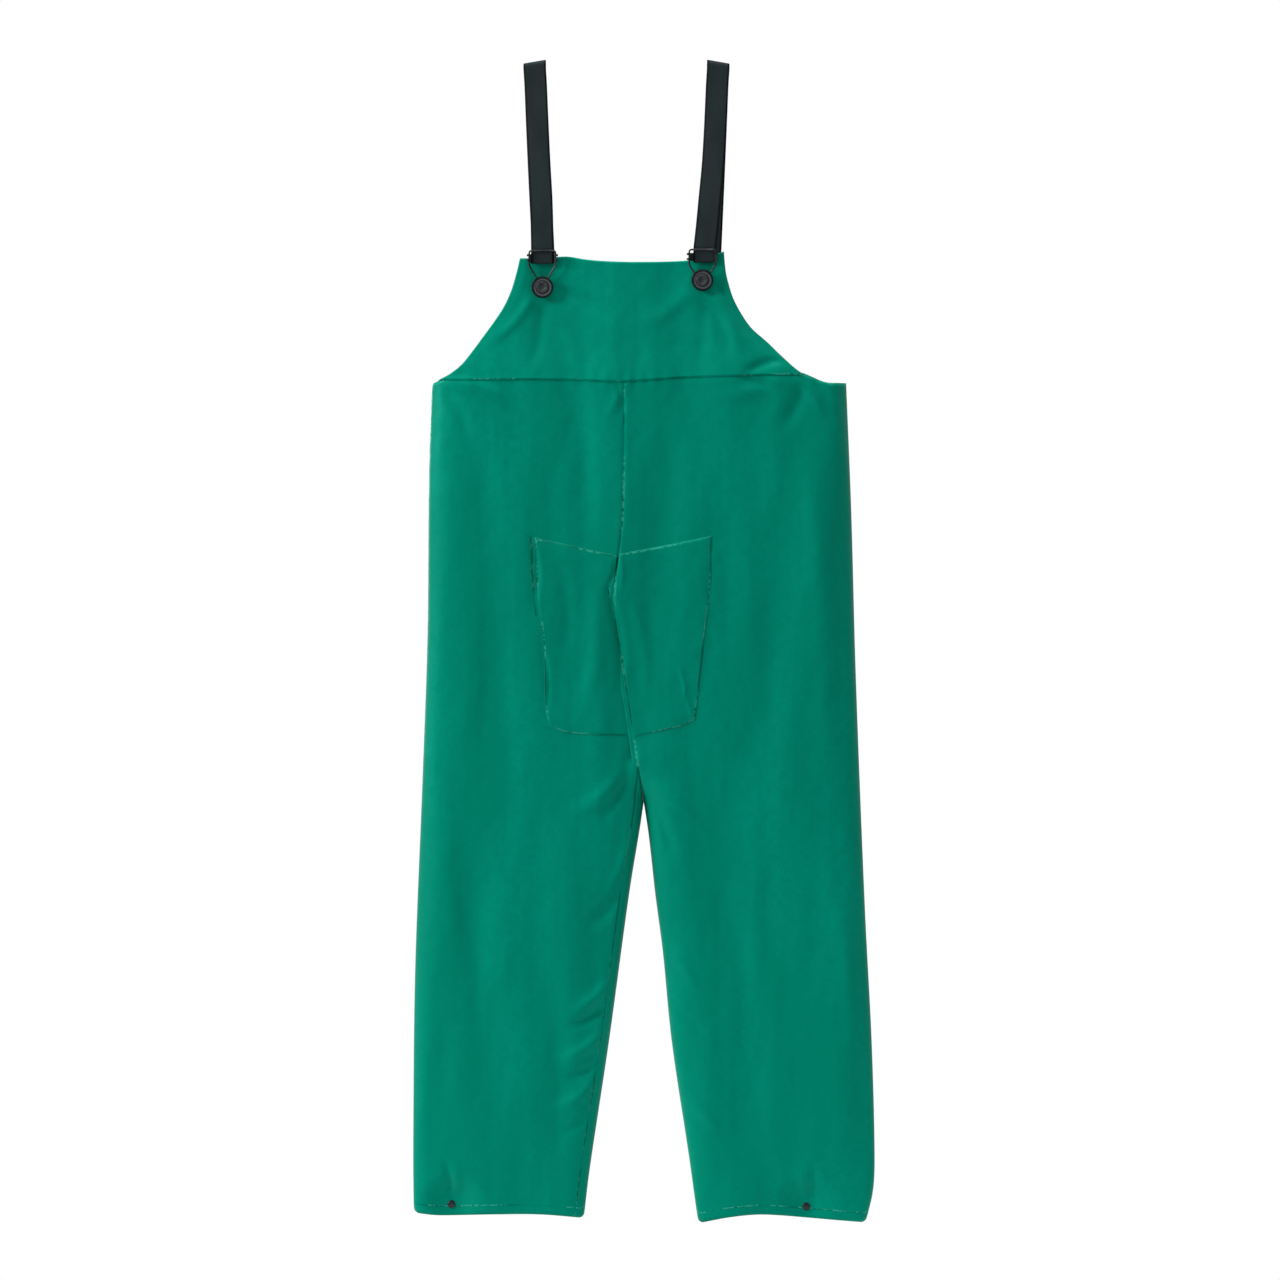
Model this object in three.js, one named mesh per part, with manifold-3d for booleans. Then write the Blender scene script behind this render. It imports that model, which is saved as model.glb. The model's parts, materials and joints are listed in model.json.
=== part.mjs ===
// PVC bib overalls hanging from their two elastic braces.
// Millimetres, +Z up, the front faces -Y, and +X is the wearer's left. The origin is midway between the folds
// where the braces hang.

import * as THREE from "three";
import { mergeVertices } from "three/addons/utils/BufferGeometryUtils.js";
import Module from "manifold-3d";

const wasm = await Module();
wasm.setup();

// Cloth
const CLOTH = 1.6; // wall of the garment's solids
const PATCH = 1.2; // reinforcement patches
const GAP = 0.3; // clearance between neighbouring pieces
const FOLD_LENGTH = 62; // how far the rounding reaches in from a folded edge
const SEAM_GAP = 0.3; // half the space between the two halves at the centre seams
const HALF_SLIT = 0.4; // a half's two layers stay this far from the middle where they meet in the inseam
const LAP_GAP = 0.5; // from the waist line to the edge of the bib above it and of the halves below it
const BIB_TOP_FACE = -14; // y of the bib's face at its top edge
const BIB_SWELL = 1.3; // power with which the bib swells out to the garment's depth at the waist

// Heights
const BIB_TOP = -262;
const WAIST = -424;
const CROTCH = -986;
const CROTCH_ROUNDING = 90; // the centre seam turns from front to back over this height
const LEG_HINGE = -1040;
const ANKLE = -1460; // the snap's pinch begins below this
const HINGE_CLEARANCE = 2;
const NOTCH_FRONT = Math.tan(THREE.MathUtils.degToRad(23.5)); // room for a leg swung 45 degrees forwards
const NOTCH_BACK = Math.tan(THREE.MathUtils.degToRad(16)); // and 30 degrees backwards

// Braces
const WEBBING_WIDTH = 30;
const WEBBING = 1.4;
const FOLD_SLOPE = Math.tan(THREE.MathUtils.degToRad(10)); // the folds drop outwards, as a hanger's arms do
const FOLD_FADE = 60; // the slope is gone this far below the fold
const FOLD_HALF_FLAT = 5;
const FOLD_HALF_GAP = 7.7;
const STRAP_END = -226; // where the front run hands over to the loop on the buckle
const STRAP_ANCHOR = -466; // lower end of the rear run, on the back of the garment
const ANCHOR_LIFT = 0.2; // extra room under the rear run and under the patch that covers it
const BACK_PATCH_HALF = 24;
const BACK_PATCH_TOP = WAIST - 8;
const BACK_PATCH_BOTTOM = WAIST - 58;

// Dungaree buckles, measured from the button's axis along the frame
const WIRE = 1.2; // radius
const FRAME_HALF_WIDTH = 17.45;
const FRAME_TOP = 48.6;
const FRAME_SHOULDER = 28.6;
const SLOT_TOP = 9;
const SLOT_RADIUS = 5.5;
const WIRE_BEND = 3;
const SLIDE_TOP = FRAME_TOP - 4.5;
const SLIDE_BOTTOM = FRAME_TOP - 15.2;
const SLIDE_PLATE = 1;
const EAR_HEIGHT = 3;
const EAR_INNER = 2.35;
const EAR_SETBACK = 0.85;
const BUCKLE_TILT = THREE.MathUtils.degToRad(4); // the frame's top stands off the bib
const LOOP_BEND = FRAME_TOP + 3; // above this the strap leans back towards the shoulder
const STRAP_LEAN = 0.0575;
// From the frame's plane to the middle of the strap behind its top bar
const STRAP_FRONT = WIRE + GAP + WEBBING / 2;
const WRAP_RADIUS = 1.5; // of the strap's middle where it turns under the slide
const TAIL_GAP = 5; // between the front run's end and the loop's

// Buttons and snaps
const BUTTON_PATCH_HALF = 22;
const BUTTON_RADIUS = 14.5;
const BUTTON_STAND_OFF = 6.3; // from the bib to the back of the cap, room for the wire
const SHANK_RADIUS = 3.6;
const SHANK_CLEARANCE = 0.8; // the bib slopes under the flat end of the shank
const TACK_RADIUS = 1.5;
const TACK_HOLE = 1.9;
const TACK_HEAD = 5.5;
const SNAP_RADIUS = 5.25;
const SNAP_HOLE = 2.1;
const SNAP_STEM = 1.7;
const PINCH_HALF = 3.55; // half the thickness where a closed snap holds the two layers together
const PINCH_FLAT = 13;
const PINCH_REACH = 62;

const PVC_GREEN = { color: 0x00806a, roughness: 0.42, metalness: 0 };
const PATCH_GREEN = { color: 0x007a65, roughness: 0.45, metalness: 0 };
const ELASTIC = { color: 0x242c2d, roughness: 0.85, metalness: 0 };
const BLACK_WIRE = { color: 0x181b1f, roughness: 0.35, metalness: 0.8 };
const BUTTON_GREY = { color: 0x34323a, roughness: 0.4, metalness: 0.7 };
const SNAP_DARK = { color: 0x141c22, roughness: 0.35, metalness: 0.8 };

/** A smooth curve v(z) through a few [z, v] points listed from the top down. */
function profile(points) {
  const last = points.length - 1;
  const slope = (i) => {
    const [za, va] = points[Math.max(i - 1, 0)];
    const [zb, vb] = points[Math.min(i + 1, last)];
    return (vb - va) / (zb - za);
  };
  return (z) => {
    let i = 0;
    while (i < last - 1 && z < points[i + 1][0]) {
      i += 1;
    }
    const [z0, v0] = points[i];
    const [z1, v1] = points[i + 1];
    const span = z1 - z0;
    const t = THREE.MathUtils.clamp((z - z0) / span, 0, 1);
    const start = v0 * (1 + 2 * t) + span * slope(i) * t;
    const end = v1 * (3 - 2 * t) + span * slope(i + 1) * (t - 1);
    return start * (1 - t) ** 2 + end * t ** 2;
  };
}

const CENTRE_SEAM = profile([[-424, -3], [-600, -5], [-720, -16.5], [-802, -5], [-894, 9], [-986, 23]]);
const HALF_DEPTH = profile([
  [-424, 32], [-600, 34], [-800, 33], [-986, 30], [-1200, 26], [-1400, 20], [-1544, 12],
]);

// One side of the garment each. "sign" points from the centre to the outer edge. Edges and seams give x at a
// height z; hems and patch ends give z at a share of the width, whose key runs from 0 at the inner end to -1.
const SIDES = {
  right: {
    sign: -1,
    outer: profile([
      [-424, -259], [-560, -263], [-760, -264.5], [-950, -271], [-1210, -281], [-1430, -283.5], [-1515, -283],
      [-1540, -281.5],
    ]),
    inner: profile([[-986, 22.7], [-1018, 18], [-1104, 4], [-1301, -23], [-1474, -49], [-1540, -57]]),
    hem: profile([[0, -1531], [-0.45, -1532], [-0.75, -1532], [-1, -1535]]),
    armhole: profile([
      [-262, -141.5], [-281, -146], [-305, -153], [-327, -163], [-345.5, -175], [-368, -191.3], [-390, -207.6],
      [-404.6, -219.8], [-417, -236], [-424, -250],
    ]),
    strapFront: profile([[0, -122], [-124, -116.5], [-187, -113], [-226, -112], [-250, -111.6]]),
    strapBack: profile([[0, -122], [-124, -117], [-250, -111], [-424, -103.5], [-466, -103]]),
    button: [-111.6, -300.8],
    buckleDrop: 0,
    buckleStandOff: 2.8,
    snap: [-232.6, -1519],
    patch: profile([[-633, -122], [-700, -119.4], [-776, -110.5], [-864, -107], [-894, -98]]),
    patchTop: profile([[0, -657.5], [-1, -633]]),
    patchBottom: profile([[0, -897], [-0.8, -893], [-1, -884]]),
  },
  left: {
    sign: 1,
    outer: profile([
      [-424, 292], [-600, 299], [-817, 305], [-1124, 317], [-1301, 326], [-1450, 330], [-1500, 328],
      [-1544, 318],
    ]),
    inner: profile([
      [-986, 23.3], [-1032, 30], [-1104, 38], [-1185, 48.5], [-1301, 60], [-1455, 83], [-1530, 93.5],
      [-1544, 96],
    ]),
    hem: profile([[0, -1544], [-0.25, -1538], [-0.45, -1533], [-0.7, -1536], [-1, -1544]]),
    armhole: profile([
      [-254, 129.5], [-280, 132], [-299, 136.5], [-317, 142.5], [-339, 154.5], [-356, 167], [-374, 187.3],
      [-390, 203.6], [-408.6, 224], [-417, 236], [-424, 250],
    ]),
    strapFront: profile([[0, 122], [-124, 116], [-187, 110.3], [-226, 106.5], [-250, 103.8]]),
    strapBack: profile([[0, 122], [-124, 117], [-250, 111.5], [-424, 104], [-466, 103]]),
    button: [100.8, -291.3],
    buckleDrop: 8,
    buckleStandOff: 3.8,
    snap: [239, -1522],
    patch: profile([[-633, 113.5], [-690, 112.7], [-762, 104.5], [-853, 94.4], [-894, 88]]),
    patchTop: profile([[0, -655], [-1, -631]]),
    patchBottom: profile([[0, -898], [-0.8, -884], [-1, -876]]),
  },
};

/** A geometry with merged vertices, its faces pointing outwards. */
function outward(geometry) {
  geometry.deleteAttribute("normal");
  geometry.deleteAttribute("uv");
  const merged = mergeVertices(geometry, 1e-4);
  const index = merged.getIndex().array;
  const [a, b, c] = [new THREE.Vector3(), new THREE.Vector3(), new THREE.Vector3()];
  let volume = 0;
  for (let i = 0; i < index.length; i += 3) {
    a.fromBufferAttribute(merged.attributes.position, index[i]);
    b.fromBufferAttribute(merged.attributes.position, index[i + 1]);
    c.fromBufferAttribute(merged.attributes.position, index[i + 2]);
    volume += a.dot(b.cross(c)) / 6;
  }
  if (volume < 0) {
    index.reverse();
  }
  return merged;
}

/**
 * A closed solid through rings of points. "loop" joins the last ring to the first; otherwise it has end caps.
 * Every ring has the same even number of points, and a cap joins point i to the one facing it across the ring.
 */
function loft(rings, loop = false) {
  const size = rings[0].length;
  const index = [];
  const quad = (a, b, c, d) => index.push(a, b, c, a, c, d);
  const spans = loop ? rings.length : rings.length - 1;
  for (let r = 0; r < spans; r += 1) {
    const here = r * size;
    const next = ((r + 1) % rings.length) * size;
    for (let i = 0; i < size; i += 1) {
      const j = (i + 1) % size;
      quad(here + i, here + j, next + j, next + i);
    }
  }
  if (!loop) {
    const end = (rings.length - 1) * size;
    for (let i = 0; i < size / 2 - 1; i += 1) {
      quad(i, size - 1 - i, size - 2 - i, i + 1);
      quad(end + i, end + i + 1, end + size - 2 - i, end + size - 1 - i);
    }
  }
  const geometry = new THREE.BufferGeometry();
  const points = rings.flat().flatMap((p) => [p.x, p.y, p.z]);
  geometry.setAttribute("position", new THREE.Float32BufferAttribute(points, 3));
  geometry.setIndex(index);
  return outward(geometry);
}

/** A three.js geometry as a manifold solid. */
function toSolid(geometry) {
  const mesh = outward(geometry);
  return new wasm.Manifold(
    new wasm.Mesh({
      numProp: 3,
      vertProperties: Float32Array.from(mesh.attributes.position.array),
      triVerts: Uint32Array.from(mesh.getIndex().array),
    }),
  );
}

/** A manifold solid as a three.js geometry. */
function toGeometry(solid) {
  const { vertProperties, triVerts } = solid.getMesh();
  const geometry = new THREE.BufferGeometry();
  geometry.setAttribute("position", new THREE.BufferAttribute(vertProperties, 3));
  geometry.setIndex(new THREE.BufferAttribute(triVerts, 1));
  return geometry;
}

/** A cylinder along Y through (x, z), to cut a hole for a stem. */
function holeTool([x, z], radius) {
  return toSolid(new THREE.CylinderGeometry(radius, radius, 200, 16).translate(x, 0, z));
}

/** A round piece turned about the Y axis from [radius, y] points. */
function turned(points, segments = 24) {
  const outline = points.map(([r, y]) => new THREE.Vector2(r, y));
  return outward(new THREE.LatheGeometry(outline, segments));
}

/** n + 1 evenly spaced values from a to b. */
function steps(a, b, n) {
  return Array.from({ length: n + 1 }, (_, i) => a + ((b - a) * i) / n);
}

/** How far the section has closed at its inner end: 0 in the body, 1 in the leg. */
function closing(z) {
  return THREE.MathUtils.smoothstep(CROTCH + CROTCH_ROUNDING - z, 0, CROTCH_ROUNDING);
}

/** The inner end of a side's section: the centre seam, and below the crotch the leg's inner edge. */
function innerEnd(side, z) {
  return z > CROTCH ? CENTRE_SEAM(z) + side.sign * SEAM_GAP : side.inner(z);
}

/** Half the garment's depth at x, less than at the middle near the folded edges and at a closed ankle snap. */
function halfDepth(side, x, z, inset) {
  const fromOuter = Math.min(Math.abs(side.outer(z) - x) / FOLD_LENGTH, 1);
  const fromInner = Math.min(Math.abs(x - innerEnd(side, z)) / FOLD_LENGTH, 1);
  const outerFold = Math.sqrt(1 - (1 - fromOuter) ** 2);
  const innerFold = Math.sqrt(1 - closing(z) * (1 - fromInner) ** 2);
  const open = HALF_DEPTH(z) * outerFold * innerFold;
  const fromSnap = Math.hypot(x - side.snap[0], z - side.snap[1]);
  const pinch = 1 - THREE.MathUtils.smoothstep(fromSnap, PINCH_FLAT, PINCH_REACH);
  return Math.max(THREE.MathUtils.lerp(open, Math.min(open, PINCH_HALF), pinch) - inset, 0);
}

/** A point of the wall: "turn" goes 0 to 1 along the front from the inner end, and 1 to 2 back behind. */
function wallPoint(side, turn, z, inset, slit) {
  const back = turn > 1;
  const along = back ? 2 - turn : turn;
  const share = (1 - Math.cos(Math.PI * along)) / 2;
  const inner = innerEnd(side, z);
  const outer = side.outer(z);
  const x = inner + (outer - inner) * share;
  const y = Math.max(halfDepth(side, x, z, inset), slit);
  const shrink = inset * (closing(z) * (1 - share) ** 4 - share ** 4) * side.sign;
  return new THREE.Vector3(x + shrink, back ? y : -y, z);
}

/** A ring of the wall: down its outer face and up its inner face at one turn. */
function wallRing(side, turn, heights, slit = 0) {
  const outer = heights.map((z) => wallPoint(side, turn, z, 0, slit));
  const inner = heights.map((z) => wallPoint(side, turn, z, CLOTH, slit));
  return [...outer, ...inner.reverse()];
}

/** Height of a notch edge at the leg hinge, "up" from it for the body and down for the leg. */
function notch(side, turn, up) {
  const y = wallPoint(side, turn, LEG_HINGE, 0, 0).y;
  const rise = y < 0 ? -y * NOTCH_FRONT : y * NOTCH_BACK;
  return LEG_HINGE + up * (HINGE_CLEARANCE + rise);
}

/** One half of the body, from the centre-front seam round to the centre-back seam, down to the leg hinge. */
function hipPanel(side) {
  const rings = steps(0, 2, 26).map((turn) => {
    const body = steps(WAIST - LAP_GAP, CROTCH + CROTCH_ROUNDING, 6);
    const legTop = steps(CROTCH + CROTCH_ROUNDING, notch(side, turn, 1), 7);
    return wallRing(side, turn, [...body, ...legTop.slice(1)], HALF_SLIT);
  });
  return loft(rings);
}

/** One leg below the hinge, with the two layers drawn together at the ankle snap. */
function legTube(side) {
  const rings = steps(0, 2, 44).slice(0, -1).map((turn) => {
    const share = (1 - Math.cos(Math.PI * (turn > 1 ? 2 - turn : turn))) / 2;
    const hem = side.hem(-share);
    const thigh = steps(notch(side, turn, -1), ANKLE, 5);
    const ankle = steps(ANKLE, hem, 5);
    return wallRing(side, turn, [...thigh, ...ankle.slice(1)]);
  });
  const tube = toSolid(loft(rings, true));
  return toGeometry(tube.subtract(holeTool(side.snap, SNAP_HOLE)));
}

/** Y of the bib's outer face: nearly flat at the top, the garment's own front at the waist. */
function bibFace(x, z) {
  const side = x < CENTRE_SEAM(WAIST) ? SIDES.right : SIDES.left;
  const down = THREE.MathUtils.clamp((BIB_TOP - z) / (BIB_TOP - WAIST), 0, 1);
  return THREE.MathUtils.lerp(BIB_TOP_FACE, -halfDepth(side, x, WAIST, 0), down ** BIB_SWELL);
}

/** Y of the front of the garment below the waist. */
function frontFace(x, z) {
  const side = x < CENTRE_SEAM(z) ? SIDES.right : SIDES.left;
  return -halfDepth(side, x, z, 0);
}

/** A sheet laid on a face: point(u, v), for u and v from 0 to 1, gives its x and z, and face(x, z) its y. */
function sheet(columns, rows, point, face, thick) {
  const rings = steps(0, 1, columns).map((u) => {
    const line = steps(0, 1, rows).map((v) => {
      const [x, z] = point(u, v);
      return new THREE.Vector3(x, face(x, z), z);
    });
    const behind = line.map((p) => new THREE.Vector3(p.x, p.y + thick, p.z));
    return [...line, ...behind.reverse()];
  });
  return loft(rings);
}

/** The bib, between its two armholes, with a hole for each button's tack. */
function frontBib() {
  const top = profile([
    [0, -262], [-0.12, -261.5], [-0.23, -259.7], [-0.31, -263], [-0.4, -265.4], [-0.57, -266.9],
    [-0.82, -264.8], [-0.92, -259], [-1, -253],
  ]);
  const point = (u, v) => {
    const z = THREE.MathUtils.lerp(top(-u), WAIST + LAP_GAP, v);
    const left = SIDES.left.armhole(z);
    const right = SIDES.right.armhole(z);
    return [right + (left - right) * u, z];
  };
  const cloth = toSolid(sheet(18, 9, point, bibFace, CLOTH));
  const holes = Object.values(SIDES).map((side) => holeTool(side.button, TACK_HOLE));
  return toGeometry(cloth.subtract(holes[0]).subtract(holes[1]));
}

/** A square patch inside the bib, behind a button. */
function buttonPatch(side) {
  const [x, z] = side.button;
  const half = BUTTON_PATCH_HALF;
  const point = (u, v) => [x - half + 2 * half * u, z + half - 2 * half * v];
  const face = (px, pz) => bibFace(px, pz) + CLOTH + GAP;
  const patch = toSolid(sheet(4, 4, point, face, PATCH));
  return toGeometry(patch.subtract(holeTool(side.button, TACK_HOLE)));
}

/** Half of the crotch reinforcement, lying on the front beside the centre seam. */
function crotchPatch(side) {
  const point = (u, v) => {
    const z = THREE.MathUtils.lerp(side.patchTop(-u), side.patchBottom(-u), v);
    const inner = CENTRE_SEAM(z) + side.sign * SEAM_GAP;
    return [inner + (side.patch(z) - inner) * u, z];
  };
  return sheet(5, 8, point, (x, z) => frontFace(x, z) - PATCH - GAP, PATCH);
}

/** The patch that holds a brace's end on the outside of the back. */
function backPatch(side) {
  const left = side.strapBack((WAIST + STRAP_ANCHOR) / 2) - BACK_PATCH_HALF;
  const point = (u, v) => [
    left + 2 * BACK_PATCH_HALF * u,
    THREE.MathUtils.lerp(BACK_PATCH_TOP, BACK_PATCH_BOTTOM, v),
  ];
  const face = (px, pz) => halfDepth(side, px, pz, 0) + WEBBING + 2 * (GAP + ANCHOR_LIFT);
  return sheet(2, 3, point, face, PATCH);
}

/** Rings of a flat strap along [x, y, z] points; dropAt(z) tilts its width like the fold it hangs by. */
function ribbon(path, dropAt) {
  return path.map(([x, y, z], i) => {
    const [, ya, za] = path[Math.max(i - 1, 0)];
    const [, yb, zb] = path[Math.min(i + 1, path.length - 1)];
    const length = Math.hypot(yb - ya, zb - za);
    const normal = [(-(zb - za) / length) * (WEBBING / 2), ((yb - ya) / length) * (WEBBING / 2)];
    const corner = (across, out) => {
      const dx = (across * WEBBING_WIDTH) / 2;
      return new THREE.Vector3(x + dx, y + out * normal[0], z + out * normal[1] + dropAt(z) * dx);
    };
    return [corner(-1, -1), corner(1, -1), corner(1, 1), corner(-1, 1)];
  });
}

/** A brace from the back edge up, over its fold and down the front. */
function strap(side) {
  const anchorY = (z) => halfDepth(side, side.strapBack(z), z, 0) + GAP + WEBBING / 2 + ANCHOR_LIFT;
  const top = -WEBBING / 2;
  const rearY = (z) => THREE.MathUtils.mapLinear(z, WAIST + 14, -30, anchorY(WAIST), FOLD_HALF_GAP);
  const frontEnd = frontStrapY(side, STRAP_END);
  const frontY = (z) => THREE.MathUtils.mapLinear(z, STRAP_END, -30, frontEnd, -FOLD_HALF_GAP);
  const bend = [
    [FOLD_HALF_GAP, -9], [FOLD_HALF_GAP, -4.5], [FOLD_HALF_GAP - 0.9, -1.9], [FOLD_HALF_FLAT, top],
  ];
  const path = [
    ...steps(STRAP_ANCHOR, WAIST, 3).map((z) => [side.strapBack(z), anchorY(z), z]),
    ...steps(WAIST + 14, -30, 8).map((z) => [side.strapBack(z), rearY(z), z]),
    ...bend.map(([y, z]) => [side.strapBack(0), y, z]),
    ...[...bend].reverse().map(([y, z]) => [side.strapFront(0), -y, z]),
    ...steps(-30, STRAP_END, 6).map((z) => [side.strapFront(z), frontY(z), z]),
  ];
  const drop = (z) => -side.sign * FOLD_SLOPE * THREE.MathUtils.clamp(1 + (z + 9) / FOLD_FADE, 0, 1);
  return loft(ribbon(path, drop));
}

/** Y of the front run's middle where it meets the loop on the buckle. */
function frontStrapY(side, z) {
  const frame = bibFace(...side.button) - side.buckleStandOff;
  const bend = LOOP_BEND - side.buckleDrop;
  return frame - bend * Math.sin(BUCKLE_TILT) + STRAP_FRONT + (z - side.button[1] - bend) * STRAP_LEAN;
}

/** A closed loop of round wire through points in the XZ plane. */
function wireLoop(points) {
  const count = points.length;
  const rings = points.map((p, i) => {
    const before = points[(i + count - 1) % count];
    const after = points[(i + 1) % count];
    const tangent = after.clone().sub(before).normalize();
    const across = new THREE.Vector2(tangent.y, -tangent.x);
    return steps(0, 7, 7).map((k) => {
      const angle = (k * Math.PI) / 4;
      const out = WIRE * Math.cos(angle);
      return new THREE.Vector3(p.x + across.x * out, WIRE * Math.sin(angle), p.y + across.y * out);
    });
  });
  return loft(rings, true);
}

/** The keyhole frame: top bar, side wires, shoulders that narrow to a slot, and the slot's round end. */
function buckleFrame(drop) {
  const outline = new THREE.Path();
  const [w, b] = [FRAME_HALF_WIDTH, WIRE_BEND];
  outline.moveTo(w - b, FRAME_TOP);
  outline.absarc(w - b, FRAME_TOP - b, b, Math.PI / 2, 0, true);
  outline.lineTo(w, FRAME_SHOULDER + b);
  outline.quadraticCurveTo(w, FRAME_SHOULDER, w - 0.6 * b, FRAME_SHOULDER - b);
  outline.lineTo(SLOT_RADIUS + 0.6 * b, SLOT_TOP + b);
  outline.quadraticCurveTo(SLOT_RADIUS, SLOT_TOP, SLOT_RADIUS, SLOT_TOP - b);
  outline.absarc(0, 0, SLOT_RADIUS, 0, -Math.PI / 2, true);
  const half = outline.getPoints(4).filter((p, i, all) => i === 0 || p.distanceTo(all[i - 1]) > 0.1);
  const mirrored = half.slice(0, -1).reverse().map((p) => new THREE.Vector2(-p.x, p.y));
  const points = [...half, ...mirrored].map((p) => new THREE.Vector2(p.x, p.y - drop));
  return wireLoop(points);
}

/** The locking slide: a plate behind the strap with four ears curled forwards round the side wires. */
function lockingSlide(drop) {
  const height = SLIDE_TOP - SLIDE_BOTTOM;
  const plateY = EAR_SETBACK + EAR_INNER + SLIDE_PLATE / 2;
  const plate = new THREE.BoxGeometry(2 * FRAME_HALF_WIDTH, SLIDE_PLATE, height);
  plate.translate(0, plateY, (SLIDE_TOP + SLIDE_BOTTOM) / 2 - drop);
  let slide = toSolid(plate);
  for (const mirror of [1, -1]) {
    for (const foot of [SLIDE_TOP - EAR_HEIGHT, SLIDE_BOTTOM + 1.2]) {
      const shape = { depth: EAR_HEIGHT, bevelEnabled: false, curveSegments: 8 };
      const ear = new THREE.ExtrudeGeometry(earSection(mirror), shape);
      ear.translate(mirror * FRAME_HALF_WIDTH, EAR_SETBACK, foot - drop);
      slide = slide.add(toSolid(ear));
    }
  }
  return toGeometry(slide);
}

/** The hook-shaped section of an ear about its wire, open on the strap's side. */
function earSection(mirror) {
  const section = new THREE.Shape();
  const [start, end] = mirror > 0 ? [Math.PI / 2, -1.2] : [Math.PI / 2, Math.PI + 1.2];
  section.absarc(0, 0, EAR_INNER + SLIDE_PLATE, start, end, mirror > 0);
  section.absarc(0, 0, EAR_INNER, end, start, mirror < 0);
  return section;
}

/** The strap's end on the buckle: down behind the top bar, round the locking slide and up again as a tail. */
function strapLoop(side) {
  const front = STRAP_FRONT;
  const tail = front + 2 * WRAP_RADIUS;
  const under = SLIDE_BOTTOM - ANCHOR_LIFT - side.buckleDrop;
  const bend = LOOP_BEND - side.buckleDrop;
  const end = STRAP_END - TAIL_GAP - side.button[1];
  const lean = Math.tan(BUCKLE_TILT) + STRAP_LEAN;
  const reach = (end - bend) * lean;
  const run = [[end, reach], [(end + bend) / 2, reach / 2], [bend, 0], [under + 8, 0]];
  const wrap = steps(Math.PI, 2 * Math.PI, 6).map((angle) => [
    front + WRAP_RADIUS * (1 + Math.cos(angle)),
    under + WRAP_RADIUS * Math.sin(angle),
  ]);
  const shift = side.strapFront(side.button[1] + bend) - side.button[0];
  const path = [
    ...run.map(([z, back]) => [shift, front + back, z]),
    ...wrap.map(([y, z]) => [shift, y, z]),
    ...[...run].reverse().map(([z, back]) => [shift, tail + back, z]),
  ];
  return loft(ribbon(path, () => 0));
}

/** The button: a domed cap with two rings and a dimple, and a hollow shank that turns on the tack. */
function buttonCap() {
  const back = -BUTTON_STAND_OFF;
  return turned([
    [0, back + 0.3],
    [TACK_HOLE, back + 0.3],
    [TACK_HOLE, -SHANK_CLEARANCE],
    [SHANK_RADIUS, -SHANK_CLEARANCE],
    [SHANK_RADIUS, back],
    [BUTTON_RADIUS - 1, back],
    [BUTTON_RADIUS, back - 0.8],
    [BUTTON_RADIUS, back - 1.8],
    [BUTTON_RADIUS - 1, back - 2.9],
    [BUTTON_RADIUS - 2.4, back - 3],
    [BUTTON_RADIUS - 3.4, back - 2.3],
    [BUTTON_RADIUS - 6, back - 2.4],
    [BUTTON_RADIUS - 7.2, back - 3],
    [BUTTON_RADIUS - 9.4, back - 3],
    [BUTTON_RADIUS - 11, back - 2.1],
    [0, back - 1.9],
  ]);
}

/** The tack: a flat head inside the bib and a nail into the button's shank. */
function buttonTack() {
  const head = CLOTH + PATCH + 2 * GAP + 0.5;
  return turned([
    [0, -BUTTON_STAND_OFF + 0.8],
    [TACK_RADIUS, -BUTTON_STAND_OFF + 1.2],
    [TACK_RADIUS, head],
    [TACK_HEAD, head],
    [TACK_HEAD, head + 1],
    [0, head + 1.2],
  ], 16);
}

/** The four pieces of a closed ankle snap, as [radius, y] outlines from the front layer to the back layer. */
function snapPieces() {
  const front = -PINCH_HALF - GAP;
  const inside = -PINCH_HALF + CLOTH + GAP;
  const back = PINCH_HALF - CLOTH - GAP;
  const stemEnd = inside + 0.9;
  return {
    snap_cap: [[0, front - 1.5], [3, front - 1.4], [SNAP_RADIUS, front - 0.6], [SNAP_RADIUS, front],
      [SNAP_STEM, front], [SNAP_STEM, stemEnd], [0, stemEnd]],
    snap_socket: [[SNAP_STEM + GAP, inside], [4.6, inside], [4.6, inside + 1.9], [2.5, inside + 1.9],
      [2.5, inside + 1.1], [SNAP_STEM + GAP, inside + 1.1], [SNAP_STEM + GAP, inside]],
    snap_stud: [[1.2, back], [4.4, back], [4.4, back - 0.7], [2.1, back - 0.7], [2.1, back - 1.4],
      [1.2, back - 1.4], [1.2, back]],
    snap_post: [[0, PINCH_HALF + GAP + 1], [4.4, PINCH_HALF + GAP + 0.7], [4.4, PINCH_HALF + GAP],
      [0.9, PINCH_HALF + GAP], [0.9, back - 1], [0, back - 1]],
  };
}

/** A named mesh with a material of its own. */
function piece(name, geometry, look) {
  const mesh = new THREE.Mesh(geometry, new THREE.MeshStandardMaterial(look));
  mesh.name = name;
  return mesh;
}

/** The buckle, its slide, the strap's end, and the button they hang on, all placed at the button. */
function fastening(name, side) {
  const [x, z] = side.button;
  const place = new THREE.Group();
  place.position.set(x, bibFace(x, z), z);
  const tilted = new THREE.Group();
  tilted.position.y = -side.buckleStandOff;
  tilted.rotation.x = BUCKLE_TILT;
  tilted.add(
    piece(`${name}_buckle_frame`, buckleFrame(side.buckleDrop), BLACK_WIRE),
    piece(`${name}_locking_slide`, lockingSlide(side.buckleDrop), BLACK_WIRE),
    piece(`${name}_strap_loop`, strapLoop(side), ELASTIC),
  );
  place.add(
    tilted,
    piece(`${name}_button_cap`, buttonCap(), BUTTON_GREY),
    piece(`${name}_button_tack`, buttonTack(), BUTTON_GREY),
  );
  return place;
}

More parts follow.
